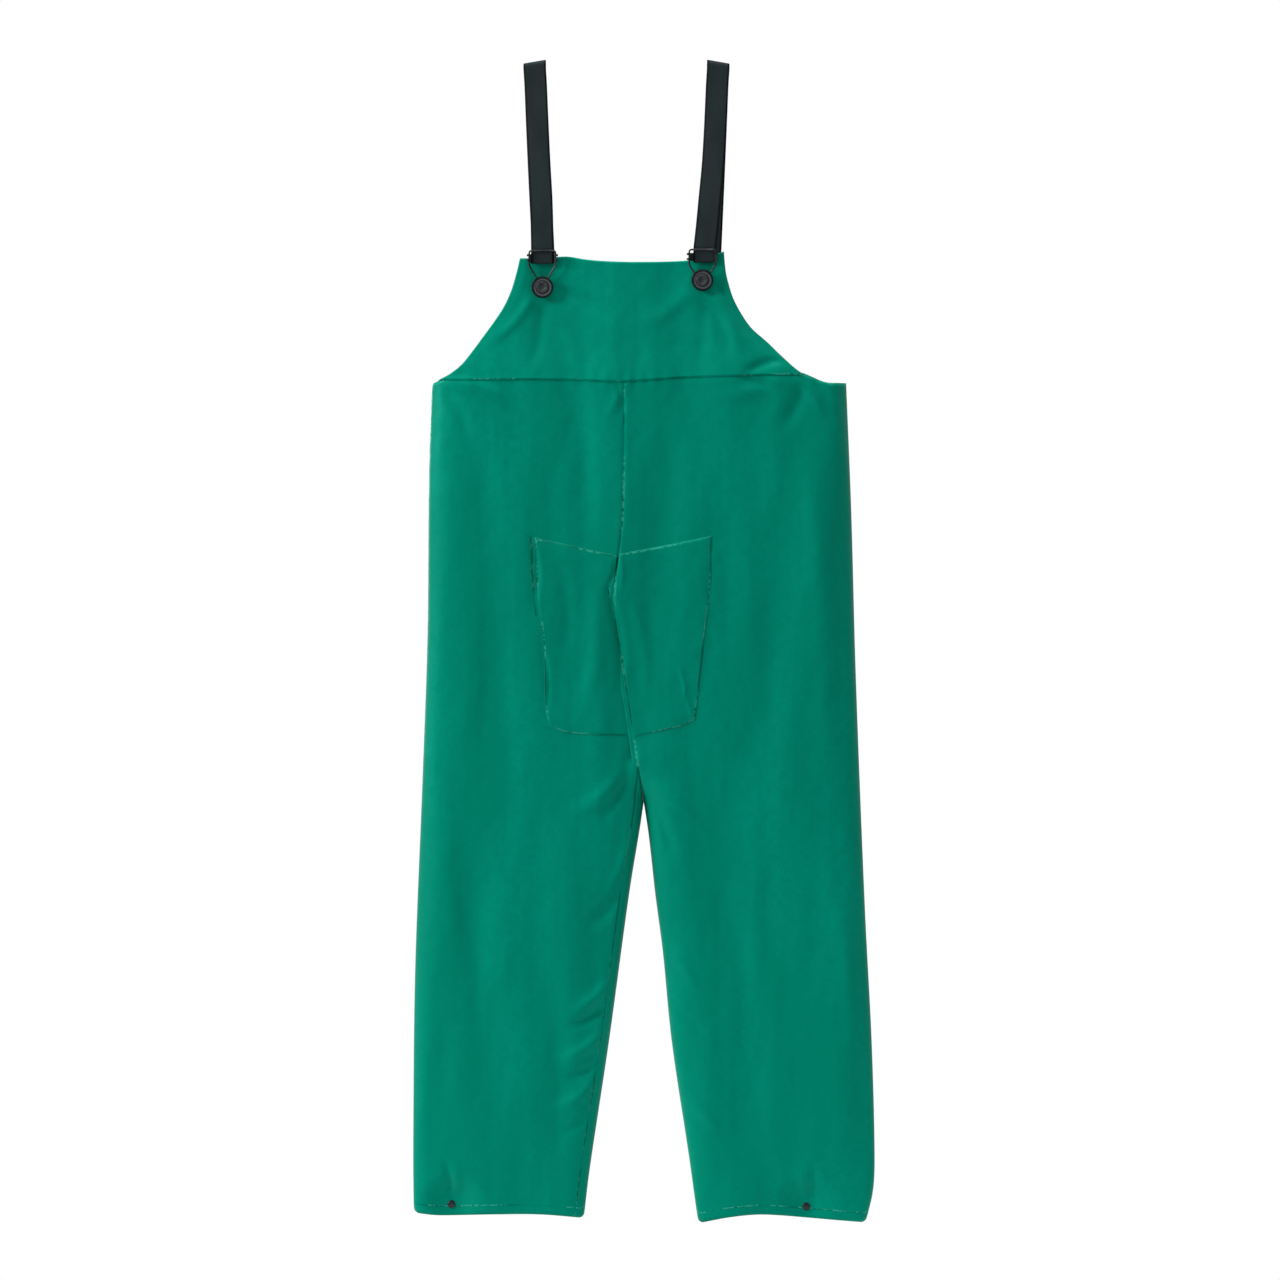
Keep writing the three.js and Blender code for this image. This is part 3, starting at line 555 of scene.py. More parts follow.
# The patches' edge and hem_line lines are drawn wider and darker than a weld alone: partly weld, partly
# painted shade of the small folds along the patch edges and, on the crotch patches, of the lapped centre
# seam.
patch_cloth = coated_cloth("patch_cloth", [("edge", 1.7, 0.6, 0.9), ("hem_line", 1.8, 0.3, 1.0)], 0.98)
print("cloth materials", panel_cloth.name, bib_cloth.name, patch_cloth.name)

# %% [markdown]
# ## The two halves
# Each half is one cut: it starts at the front seam, goes round the outside fold with no side seam, comes
# back to the rear seam, and below the crotch its two edges meet in the inseam. So it is one grid whose
# columns go round and whose rows go down. At its edges the cloth has a seam allowance: in the body the left
# half's runs on under the right half, as a welded lap seam's does, and in the legs both turn inwards, which
# gives the inseam its crisp line.

# %% Half panels
COLUMNS, ROWS = 150, 215
FAR = 60  # a distance at which no line is drawn
ALLOWANCE = np.array([7.0, 4.5, 2.5, 1.2, 0.4])


def seam_step(side, from_seam, z, back=False):
    """How far the cloth sinks beside the centre seam: a fine groove, and between the patches a step, where
    the left half stands proud and the right half is drawn down to it. The rear seam has only the groove."""
    groove = 0.7 * np.exp(-((from_seam / 2.4) ** 2))
    step = np.where(back, 0, rise(-z, 668, 725) * (1 - rise(-z, 905, 960)))
    depth_beside, reach = (2.6, 7) if side["sign"] < 0 else (-1.1, 12)
    return groove * (1 - step) + depth_beside * np.exp(-((from_seam / reach) ** 2)) * step


def panel_point(side, turn, z):
    """Point of the half at a turn from 0 (front inner end) over 1 (outer fold) to 2 (rear inner end). Its
    share of the width is (1 - cos(pi turn)) / 2, which puts the columns close together at both folds."""
    back = turn > 1
    along = np.where(back, 2 - turn, turn)
    share = (1 - np.cos(math.pi * along)) / 2
    inner, outer = inner_end(side, z), side["outer"](z)
    x = inner + (outer - inner) * share
    out = half_depth(side, x, z)
    calm = rise(np.abs(outer - x), 2, 26) * (1 - rise(closing(z) * (1 - np.abs(x - inner) / 26), 0, 1))
    near_snap = rise(np.hypot(x - side["snap"][0], z - side["snap"][1]), 7, 22)
    out = np.maximum(out + relief(x, z, back) * calm * near_snap, 0.35)
    lap = ~back & (z > WAIST)
    y = np.where(back, out, -out)
    y = np.where(lap, bib_y(x, z) - relief(x, z, False) * calm, y)
    groove = seam_step(side, np.abs(x - inner), z, back) * (1 - closing(z))
    return np.stack([x, y + np.where(back, -groove, groove), z + 0 * x], -1)


def waist_height(side, turn):
    """The top edge: behind the bib in front, down at the armhole's corner, level along the back."""
    share = (1 - np.cos(math.pi * np.minimum(turn, 1))) / 2
    start, end, corner = side["waist_corner"]
    front = blend_to(-413, corner, rise(share, start, end))
    at_fold = front[np.argmin(np.abs(turn - 1))]
    return np.where(turn > 1, blend_to(-425.5, at_fold, rise(share, 0.9, 1)), front)


def round_corner(distance, radius):
    """How far a corner's rounding lifts the edge at a distance from the corner: a quarter circle."""
    inside = np.clip(radius - distance, 0, radius)
    return radius - np.sqrt(radius**2 - inside**2)


def half_panel(name, side):
    """One half of the garment: front, outer fold and back in one sheet, with its seam allowance at both
    inner ends."""
    tucked = np.ones(len(ALLOWANCE))
    turn = np.concatenate([0 * tucked, np.linspace(0, 2, COLUMNS), 2 * tucked])
    share = (1 - np.cos(math.pi * np.where(turn > 1, 2 - turn, turn))) / 2
    top, bottom = waist_height(side, turn), side["hem"](-share)
    width = np.abs(side["outer"](bottom) - side["inner"](bottom))
    bottom = bottom + round_corner(width * np.minimum(share, 1 - share), 7)
    down = np.linspace(0, 1, ROWS)
    z = top[:, None] + (bottom - top)[:, None] * down
    grid = panel_point(side, turn[:, None], z)
    tuck = np.concatenate([ALLOWANCE, np.zeros(COLUMNS), ALLOWANCE[::-1]])[:, None]
    inwards = np.where(turn[:, None] > 1, -1, 1)
    if side["sign"] > 0:
        heading = math.pi * (1 - closing(z))
        grid[..., 0] += tuck * np.cos(heading)
        grid[..., 1] += (tuck * np.sin(heading) + 0.95 * rise(tuck, 0, 1.2) * (1 - closing(z))) * inwards
    else:
        grid[..., 0] -= tuck * closing(z)
    uv = np.stack([np.broadcast_to(turn[:, None] * 300, z.shape), z], -1)
    from_inner = np.abs(grid[..., 0] - inner_end(side, z))
    is_right = side["sign"] < 0
    marks = {
        "hem_line": np.minimum(z - bottom[:, None] - HEM_WELD, FAR),
        "side_line": np.where(is_right & (z < CROTCH + 56), from_inner - 12 * rise(-z, 930, 990), FAR),
        # pressed: painted shade, a dark band about 4 mm outside the right crotch patch's outer edge, on the
        # front between z -738 and -628, where the fold beside the patch is shaded.
        "pressed": 0.55 * (grid[..., 0] - side["patch"](z) + 4.2),
        "painted_shade_off": np.where(is_right & (grid[..., 1] < 0) & (z > -738) & (z < -628), 0, FAR),
        "seam": np.where(z > CROTCH - 40, from_inner, FAR),
    }
    panel = grid_piece(name, grid, uv=uv, marks=marks, inside=(grid[..., 0].mean(), 0, -980))
    return thicken(panel, CLOTH)


for name, side in SIDES.items():
    panel = half_panel(f"{name}_half_panel", side)
    dress(panel, panel_cloth)
    middle = float(side["inner"](LEG_HINGE) + side["outer"](LEG_HINGE)) / 2 * MM
    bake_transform(panel)
    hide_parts(f"{name}_hip_panel", f"{name}_leg_tube")
    print(panel.name, len(panel.data.polygons), "quads")

# %% [markdown]
# ## The bib
# The bib laps 9 mm over the halves and is welded down along its lower edge, so that edge is a real edge
# here, a little proud of the cloth below. Its sides are the concave armholes, hemmed like the top.

# %% Bib panel
BIB_COLUMNS, BIB_ROWS = 150, 62
bib_top = profile([(0, -262), (-0.12, -261.5), (-0.23, -259.7), (-0.31, -263), (-0.4, -265.4),
                   (-0.57, -266.9), (-0.82, -264.8), (-0.92, -259), (-1, -253)])
bib_seam = profile([(0, -424.5), (-0.33, -424), (-0.48, -426.5), (-0.65, -421.5), (-0.85, -418.5),
                    (-1, -417.5)])


def bib_panel():
    """The bib as one sheet between its armholes, a little proud of the cloth along its weld."""
    u = np.linspace(0, 1, BIB_COLUMNS)[:, None]
    v = np.linspace(0, 1, BIB_ROWS)[None, :]
    z = blend_to(bib_top(-u), bib_seam(-u), v)
    right, left = SIDES["right"]["armhole"](z), SIDES["left"]["armhole"](z)
    x = right + (left - right) * u
    near_button = 1.0
    for side in SIDES.values():
        near_button = near_button * rise(np.hypot(x - side["button"][0], z - side["button"][1]), 12, 30)
    edge_calm = rise(np.minimum(x - right, left - x), 0, 14)
    proud = 0.75 * rise(v, 0.7, 0.93)
    y = bib_y(x, z) - relief(x, z, False) * edge_calm * near_button - proud
    y = y + 3.2 * rise(x - left, -30, 0) * rise(-z, 308, 335) * (1 - rise(-z, 385, 415))
    lift = 2.2 * np.exp(-(((u - 0.5) / 0.33) ** 2)) * (1 - v) ** 2
    marks = {"edge": z - bib_seam(-u) - 1.2, "side_line": np.minimum(x - right, left - x) - 0.3}
    uv = np.stack([x, z], -1)
    grid = np.stack([x, y - lift, z], -1)
    return grid_piece("bib", grid, inside=(0, 900, -340), uv=uv, marks=marks)


bib = thicken(bib_panel(), CLOTH)
dress(bib, bib_cloth)
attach(bib, "overalls")
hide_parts("front_bib")
print("bib", len(bib.data.polygons), "quads")

# %% [markdown]
# ## Reinforcement patches
# The crotch takes the most strain, so a second layer is welded on beside the front seam. Each patch is its
# own sheet that follows the cloth under it at a small distance, with its edge pressed down flat by the
# weld.

# %% Crotch patches
def front_y(side, x, z):
    """Y of the half panel's front at (x, z), with its folds."""
    inner, outer = inner_end(side, z), side["outer"](z)
    calm = rise(np.abs(outer - x), 2, 26)
    return -(half_depth(side, x, z) + relief(x, z, False) * calm) + seam_step(side, np.abs(x - inner), z)


def crotch_patch(name, side):
    """A patch beside the front seam, laid on the half panel, with its border pressed down."""
    u = np.linspace(0, 1, 52)[:, None]
    v = np.linspace(0, 1, 96)[None, :]
    z = blend_to(side["patch_top"](-u), side["patch_bottom"](-u), v)
    inner = centre_seam(z) + side["sign"] * 0.6
    reach = side["patch"](z) - inner
    x = inner + reach * u
    from_ends = np.minimum(side["patch_top"](-u) - z, z - side["patch_bottom"](-u))
    border = np.minimum(np.abs(reach) * (1 - u), from_ends)
    lift = 0.15 + 0.75 * rise(border, 0, 1.2) + 0.5 * rise(border, 3, 14) * np.sin(z / 17 + x / 23) ** 2
    grid = np.stack([x, front_y(side, x, z) - lift, z], -1)
    # Along the centre seam hem_line draws a dark line that is partly painted shade of the lapped seam; edge
    # draws the other borders, darkened as painted shade of their folds.
    marks = {"edge": np.where(u < 0.02, FAR, border - 1.6), "hem_line": np.abs(reach) * u}
    return grid_piece(name, grid, inside=(0, 900, -760), uv=np.stack([x, z], -1), marks=marks)


for name, side in SIDES.items():
    patch = thicken(crotch_patch(f"{name}_crotch_reinforcement", side), 0.5)
    dress(patch, patch_cloth)
    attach(patch, "overalls")
    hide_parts(f"{name}_crotch_patch")
    print(patch.name, len(patch.data.polygons), "quads")

# %% [markdown]
# Two patches are less obvious: a small square behind the bib carries each button's tack, and a patch on the
# back of the waist carries each brace's end. Both are laid against the cloth they are stitched to.

# %% Button and back patches
SQUARE = 44


def square_grid(x_low, x_high, z_low, z_high, count=30):
    """x, z and the distance to the nearest edge over a rectangle."""
    x = np.linspace(x_low, x_high, count)[:, None]
    z = np.linspace(z_high, z_low, count)[None, :]
    border = np.minimum(np.minimum(x - x_low, x_high - x), np.minimum(z - z_low, z_high - z))
    return x + 0 * z, z + 0 * x, border


def back_y(side, x, z):
    """Y of the half panel's back at (x, z), with its folds."""
    calm = rise(np.abs(side["outer"](z) - x), 2, 26)
    return half_depth(side, x, z) + relief(x, z, True) * calm


for name, side in SIDES.items():
    bx, bz = side["button"]
    x, z, border = square_grid(bx - SQUARE / 2, bx + SQUARE / 2, bz - SQUARE / 2, bz + SQUARE / 2)
    near_button = rise(np.hypot(x - bx, z - bz), 12, 30)
    grid = np.stack([x, bib_y(x, z) - relief(x, z, False) * near_button + CLOTH + 0.3, z], -1)
    marks = {"edge": border - 4, "hem_line": FAR}
    plan = grid[..., [0, 2]]
    patch = grid_piece(f"{name}_button_reinforcement", grid, inside=(bx, -900, bz), uv=plan, marks=marks)
    dress(thicken(patch, 0.5), patch_cloth)
    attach(patch, "overalls")
    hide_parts(f"{name}_button_patch")

    middle = float(side["strap_back"](WAIST - 20))
    x, z, border = square_grid(middle - 24, middle + 24, WAIST - 58, WAIST - 8)
    lift = 0.2 + 2.7 * rise(border, 0, 3) * rise(24 - np.abs(x - middle), 4, 9)
    grid = np.stack([x, back_y(side, x, z) + lift, z], -1)
    marks = {"edge": border - 2.5, "hem_line": border - 6}
    plan = grid[..., [0, 2]]
    patch = grid_piece(f"{name}_brace_anchor", grid, inside=(middle, -900, -450), uv=plan, marks=marks)
    dress(thicken(patch, 0.5), patch_cloth)
    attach(patch, "overalls")
    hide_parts(f"{name}_back_patch")
    print(name, "patches,", len(patch.data.polygons), "quads each")

# %% [markdown]
# ## Elastic webbing
# The braces are woven elastic, 30 mm wide: fine ribs run along it, the two edges are closer woven and look
# darker, and small cross threads catch the light. The pattern is drawn on the piece's own map, which gives
# the distance across and along the band in metres, so it turns with the band over the fold and round the
# buckle.

# %% Webbing material
VALLEY, RIB = (0.0070, 0.0115, 0.0125, 1), (0.0180, 0.0270, 0.0290, 1)
FUZZ, WORN = (0.027, 0.039, 0.040, 1), (0.0085, 0.0135, 0.0140, 1)
SELVEDGE, THREAD = (0.0022, 0.0034, 0.0037, 1), (0.055, 0.066, 0.066, 1)
RIB_PITCH, WEFT_PITCH, STITCH = 0.0011, 0.00135, 0.003


def webbing_material():
    """Dark woven elastic: ribs and cross threads, a duller selvedge, and pale rows of thread where it is
    sewn."""
    material, tree, shader = start_material("elastic_webbing", 0.85, specular=0.05)
    plan = add_node(tree, "ShaderNodeUVMap", {}, uv_map="cut").outputs[0]
    part = add_node(tree, "ShaderNodeSeparateXYZ", {"Vector": plan})
    across, along = part.outputs[0], part.outputs[1]
    rib = maths(tree, "SINE", maths(tree, "MULTIPLY", across, 2 * math.pi / RIB_PITCH))
    weft = maths(tree, "SINE", maths(tree, "MULTIPLY", along, 2 * math.pi / WEFT_PITCH))
    weave = maths(tree, "MULTIPLY", rib, weft)
    fuzz = cloud(tree, plan, 900, 2)
    worn = cloud(tree, plan, 45, 3, (1, 0.3, 1))
    light = mix(tree, remap(tree, weave, -1, 1, 0, 1), VALLEY, RIB)
    light = mix(tree, remap(tree, fuzz, 0.35, 0.65, 0, 0.35), light, FUZZ)
    light = mix(tree, remap(tree, worn, 0.4, 0.7, 0, 0.5), light, WORN)
    from_edge = maths(tree, "SUBTRACT", 0.015, maths(tree, "ABSOLUTE", across))
    edge = remap(tree, from_edge, 0.0016, 0.0034, 1, 0)
    colour = mix(tree, maths(tree, "MULTIPLY", edge, 0.85), light, SELVEDGE)
    stitch = remap(tree, mark(tree, "stitch"), 0.2, 0.8, 0, 1)
    stitches = maths(tree, "SINE", maths(tree, "MULTIPLY", across, 2 * math.pi / STITCH))
    thread = remap(tree, stitches, -0.2, 0.5, 0, 1)
    colour = mix(tree, maths(tree, "MULTIPLY", stitch, thread), colour, THREAD)
    tree.links.new(colour, shader.inputs["Base Color"])
    tree.links.new(remap(tree, fuzz, 0.3, 0.7, 0.62, 0.85), shader.inputs["Roughness"])
    height = maths(tree, "MULTIPLY", weave, 0.00012)
    height = maths(tree, "ADD", height, maths(tree, "MULTIPLY", fuzz, 0.0001))
    height = maths(tree, "SUBTRACT", height, maths(tree, "MULTIPLY", stitch, 0.0003))
    add_bump(tree, shader, height, 0.7)
    return material


webbing = webbing_material()

# %% [markdown]
# ## Carrying a band along a path
# A brace is a band carried along a line. The line is smoothed and walked in even steps; at every step the
# band lies square to the walking direction, and `drop` slopes it where it hangs over its peg at an angle.

# %% Band along a path
BAND_HALF = 15.0
BAND_THICK = 1.3
BAND_POINTS = 14


def even_steps(points, step):
    """A smooth line through points, walked in even steps: each stretch is the cubic with mean slopes, and
    the walk is read off its length."""
    points = np.array(points, float)
    chord = np.concatenate([[0], np.cumsum(np.linalg.norm(np.diff(points, axis=0), axis=1))])
    fine = np.linspace(0, chord[-1], int(chord[-1] / 0.25) + 2)
    tracks = [profile(np.stack([-chord, points[:, k]], -1)) for k in range(points.shape[1])]
    line = np.stack([track(-fine) for track in tracks], -1)
    length = np.concatenate([[0], np.cumsum(np.linalg.norm(np.diff(line, axis=0), axis=1))])
    even = np.linspace(0, length[-1], int(length[-1] / step) + 2)
    return np.stack([np.interp(even, length, line[:, k]) for k in range(line.shape[1])], -1), even


def band(name, points, step, stitches=()):
    """A closed band and its length. points are (x, y, z, drop): its middle line, and how far it drops per
    millimetre across. Its section is a flat ring with round edges; at both ends the ring is drawn in flat
    and closed by quads across it. stitches are places along the band where a row of thread crosses it."""
    line, along = even_steps(points, step)
    middle, drop = line[:, :3], line[:, 3]
    ahead = np.gradient(middle, axis=0)
    ahead /= np.linalg.norm(ahead, axis=1)[:, None]
    across = np.stack([np.ones(len(line)), np.zeros(len(line)), drop], -1)
    across -= ahead * (across * ahead).sum(1)[:, None]
    across /= np.linalg.norm(across, axis=1)[:, None]
    face = np.cross(across, ahead)
    side = np.concatenate([np.linspace(-1, 1, BAND_POINTS), np.linspace(1, -1, BAND_POINTS)])
    flip = np.repeat([1.0, -1.0], BAND_POINTS)
    taper = np.sqrt(np.clip(1 - np.abs(side) ** 10, 0.0, 1)) * 0.7 + 0.3
    taper[np.abs(side) == 1] = 0.32
    rim = np.concatenate([[0.0, 0.7], np.ones(len(line) - 4), [0.7, 0.0]])
    side_at = side[:, None] * BAND_HALF
    sway = 0.10 * np.sin(along / 37.0) * np.sin(side[:, None] * 2.2)
    out = (flip * taper * BAND_THICK / 2)[:, None] * np.maximum(rim, 0.02) + sway
    grid = middle[None] + across[None] * side_at[..., None] + face[None] * out[..., None]
    uv = np.stack([side_at + 0 * along, along + 0 * side_at], -1)
    row = sum(((np.abs(along - at) < 0.7).astype(float) for at in stitches), np.zeros(len(along)))
    columns, rows = grid.shape[:2]
    quads = join_grid(columns, rows, True, False)
    first, final = np.arange(columns) * rows, np.arange(columns) * rows + rows - 1
    caps = []
    for ring in (first, final):
        half_ring, other = ring[:BAND_POINTS], ring[BAND_POINTS:][::-1]
        caps.append(np.stack([half_ring[:-1], half_ring[1:], other[1:], other[:-1]], -1))
    caps[1] = caps[1][:, ::-1]
    quads = np.concatenate([quads] + caps)
    body = grid.reshape(-1, 3)
    a, b, c, d = (body[quads[:, k]] for k in range(4))
    centre = (a + b + c + d) / 4
    walls = np.repeat(middle[None, :-1], columns, 0).reshape(-1, 3)
    ends = np.repeat([middle[0] + ahead[0], middle[-1] - ahead[-1]], BAND_POINTS - 1, 0)
    nearest = np.concatenate([walls, ends])
    wrong = ((centre - nearest) * np.cross(c - a, d - b)).sum(1) < 0
    quads[wrong] = quads[wrong][:, ::-1]
    marks = {"stitch": np.broadcast_to(row, (columns, rows)).ravel()}
    return make_mesh(name, body, quads, uv.reshape(-1, 2), marks), along[-1]


# %% [markdown]
# ## The braces
# Each brace comes up from the back of the waist, lies over a peg or a hanger's arm 122 mm out from the
# middle, and runs down to its buckle. It is one band. The front run has to follow the buckle when that
# swings; a slanted line measures how far down the front a point is, and no rear point reaches it. The
# start and end of that line are worked out, but the band is not blended between two bodies here.

# %% Braces
PEG_X = 122
FOLD_HALF_GAP, FOLD_END = 7.7, -30
FRONT_RUN = -226
FOLD_SLOPE = math.tan(math.radians(10))
BAR = 48.6
TILT = math.radians(4)
WIRE = 1.2
BAND_FRONT = WIRE + 0.3 + BAND_THICK / 2
STRAP_LEAN = 0.0575
BUTTON_STAND_OFF = 6.3


def bib_at(side):
    """Y of the bib at a side's button."""
    return float(bib_y(np.float64(side["button"][0]), np.float64(side["button"][1])))


def frame_y(side, up):
    """Y of the buckle's own plane at a height above its button."""
    return bib_at(side) - side["buckle_stand_off"] - up * math.tan(TILT)


def front_run_y(side, z):
    """Y of the band's middle in front: in the buckle's plane near its bar, then leaning back to the
    shoulder."""
    up = z - side["button"][1]
    bend = BAR + 3 - side["buckle_drop"]
    return frame_y(side, min(up, bend)) + BAND_FRONT + max(up - bend, 0) * STRAP_LEAN


def brace(name, side):
    """One brace from the back of the waist to its buckle, its length, and where a blend along its front run
    would start and end.
    """
    def drop(z):
        return -side["sign"] * FOLD_SLOPE * min(max(1 + (z + 9) / 60, 0), 1)

    points = []
    for z in (-466, -456, -446, -436, WAIST):
        x = float(side["strap_back"](z))
        points.append((x, float(back_y(side, np.float64(x), np.float64(z))) + 1.1, z, 0))
    start_y = points[-1][1]
    for z in (-402, -360, -300, -230, -160, -100, -60, FOLD_END):
        y = blend_to(FOLD_HALF_GAP, start_y, (z - FOLD_END) / (WAIST - FOLD_END))
        points.append((float(side["strap_back"](z)), y, z, drop(z)))
    quarter = [(7.7, -9), (7.5, -4.8), (6.4, -2.0), (4.6, -0.85)]
    arc = quarter + [(0, -0.7)] + [(-y, z) for y, z in quarter[::-1]]
    points += [(side["sign"] * PEG_X, y, z, drop(z)) for y, z in arc]
    first = front_run_y(side, FRONT_RUN)
    for z in (FOLD_END, -60, -100, -140, -180, -210):
        y = blend_to(-FOLD_HALF_GAP, first, (z - FOLD_END) / (FRONT_RUN - FOLD_END))
        points.append((float(side["strap_front"](z)), y, z, drop(z)))
    bar_z = side["button"][1] + BAR - side["buckle_drop"]
    for z in (FRONT_RUN, -236, bar_z + 6, bar_z + 2, bar_z - 0.8):
        points.append((float(side["strap_front"](max(z, -250))), front_run_y(side, z), z, 0))
    piece, length = band(f"{name}_brace", points, 2.0, stitches=(6, 8, 34, 36))
    down = np.array([0, -12, -1]) / math.hypot(12, 1)
    start = np.array([side["button"][0], -FOLD_HALF_GAP, FOLD_END])
    reach = (np.array([side["button"][0], first, FRONT_RUN]) - start) @ down
    return piece, length, start * MM, (start + down * reach) * MM


for name, side in SIDES.items():
    piece, length, start, end = brace(name, side)
    dress(piece, webbing)
    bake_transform(piece)
    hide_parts(f"{name}_strap")
    print(piece.name, round(length), "mm long")

# %% [markdown]
# Below the top bar the band goes round the locking slide and comes up behind itself as a short tail. This
# end is a piece of its own that rides with the slide: it starts tucked behind the brace, so no gap opens as
# the slide moves.

# %% Turned ends of the braces
SLIDE_LOW, SLIDE_HIGH = 33.4, 44.1
PLATE_Y = 3.7


def buckle_place(side, points):
    """Points of the buckle's own frame (x, y, z in mm, z up from the button) brought to where it hangs,
    tilted."""
    points = np.asarray(points, float)
    y, z = points[..., 1], points[..., 2]
    x = points[..., 0] + side["button"][0]
    tilted_y = y * math.cos(TILT) - z * math.sin(TILT) + bib_at(side) - side["buckle_stand_off"]
    return np.stack([x, tilted_y, y * math.sin(TILT) + z * math.cos(TILT) + side["button"][1]], -1)


def turned_end(name, side):
    """The end of a brace: down behind the bar, round under the plate and up again as a tail."""
    drop = side["buckle_drop"]
    under = SLIDE_LOW - 0.2 - drop
    bar = BAR - drop
    path = [(3.75, bar + 7), (3.7, bar + 2.5), (2.9, bar - 1.0), (2.3, bar - 3.5), (2.2, bar - 8)]
    path += [(2.2, under + 2)]
    path += [(PLATE_Y - 1.5 * math.cos(t), under - 1.5 * math.sin(t)) for t in np.linspace(0, math.pi, 7)]
    path += [(5.2, under + 3), (5.2, under + 9), (5.3, bar - 2), (5.5, bar + 3), (7.2, bar + 14)]
    path += [(9.4, bar + 29)]
    placed = buckle_place(side, np.array([(0, y, z) for y, z in path]))
    points = [(float(side["strap_front"](max(z, -250))), y, z, 0) for _, y, z in placed]
    return band(f"{name}_brace_end", points, 0.8)


for name, side in SIDES.items():
    piece, length = turned_end(name, side)
    dress(piece, webbing)
    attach(piece, f"{name}_slide")
    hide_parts(f"{name}_strap_loop")
    print(piece.name, round(length), "mm long")

# %% [markdown]
# ## Metal
# The buckle wire is dip-coated black, so its gloss is soft and uneven; its small pale grey spots are partly
# wear and partly a painted highlight. The button is a pressed cap with a dull dark finish, and rings of
# colour paint light and shade on it: its rolled rim is painted near black with a green tinge, as painted
# shade with a painted reflection of the green cloth, a lighter ring round its dished middle is a painted
# highlight, and a darker ring lies inside that. The rings follow the distance from the axis, which is kept
# at the points.

# %% Metal materials
def metal_material(name, dark, light, rough, wear_scale, pale_spots, specular, metallic=0.0, rings=()):
    """Dark metal or paint, mottled, with a lighter tone on pale spots and a fine uneven gloss; the pale spots
    are wear, and on the buckle wire also a painted highlight. Each of the rings (radius in mm, half width,
    colour) tints the piece round its axis."""
    material, tree, shader = start_material(name, rough, metallic, specular)
    place = add_node(tree, "ShaderNodeTexCoord", {}).outputs["Object"]
    mottle = remap(tree, cloud(tree, place, wear_scale, 4), 0.35, 0.68, 0, 1)
    # The pale spots are partly wear and, on the buckle wire, partly a painted highlight.
    worn = remap(tree, cloud(tree, place, wear_scale * 4.3, 3), 0.56, 0.72, 0, pale_spots)
    tone = [(a * 2 + b) / 3 for a, b in zip(dark, light)]
    colour = mix(tree, mottle, (*dark, 1), (*tone, 1))
    colour = mix(tree, worn, colour, (*light, 1))
    # On the button these rings paint its light and shade: a near-black rim as painted shade and a lighter
    # ring as a painted highlight.
    for radius, half, tint in rings:
        share = near(tree, maths(tree, "SUBTRACT", mark(tree, "from_axis"), radius), half)
        uneven = remap(tree, cloud(tree, place, 150), 0.3, 0.6, 0.75, 1)
        colour = mix(tree, maths(tree, "MULTIPLY", share, uneven), colour, (*tint, 1))
    tree.links.new(colour, shader.inputs["Base Color"])
    gloss = remap(tree, cloud(tree, place, wear_scale * 2, 3), 0.3, 0.7, rough - 0.08, rough + 0.12)
    tree.links.new(gloss, shader.inputs["Roughness"])
    add_bump(tree, shader, maths(tree, "MULTIPLY", cloud(tree, place, 1400, 2), 0.00004), 0.6)
    return material


# The wire's pale grey spots stand partly for wear and partly for a painted highlight, the grey sheen on the
# coated wire.
black_wire = metal_material(
    "black_wire", dark=(0.003, 0.004, 0.0045), light=(0.07, 0.075, 0.08), rough=0.42, wear_scale=75,
    pale_spots=0.45, specular=0.2,
)
# The button's rings: the rim near black with a green tinge, painted shade with a painted reflection of the
# green cloth; at 10.4 mm a lighter ring, a painted highlight; at 8.5 mm a darker ring.
BUTTON_LIGHT_AND_SHADE_RINGS = [
    (14.3, 5.5, (0.0004, 0.0025, 0.003)),
    (10.4, 1.2, (0.085, 0.088, 0.098)),
    (8.5, 1.1, (0.009, 0.010, 0.012)),
]
button_metal = metal_material(
    "button_metal", dark=(0.022, 0.025, 0.028), light=(0.070, 0.075, 0.082), rough=0.48, wear_scale=240,
    pale_spots=0.5, specular=0.06, rings=BUTTON_LIGHT_AND_SHADE_RINGS,
)
snap_metal = metal_material(
    "snap_metal", dark=(0.0045, 0.0085, 0.011), light=(0.040, 0.052, 0.058), rough=0.33, wear_scale=320,
    pale_spots=0.5, specular=0.4, metallic=0.4,
)

# %% [markdown]
# ## The buckle's frame
# One round wire is bent to a keyhole: a straight top bar, two side wires that run in to a narrow slot, and
# a round end that hangs on the button's shank. Here it is a ring of sixteen points carried round that
# closed line.

# %% Buckle wires
HALF_WIDTH = 17.45
SHOULDER = 28.6
SLOT_TOP, SLOT_RADIUS = 9.0, 5.5
BEND = 3.0


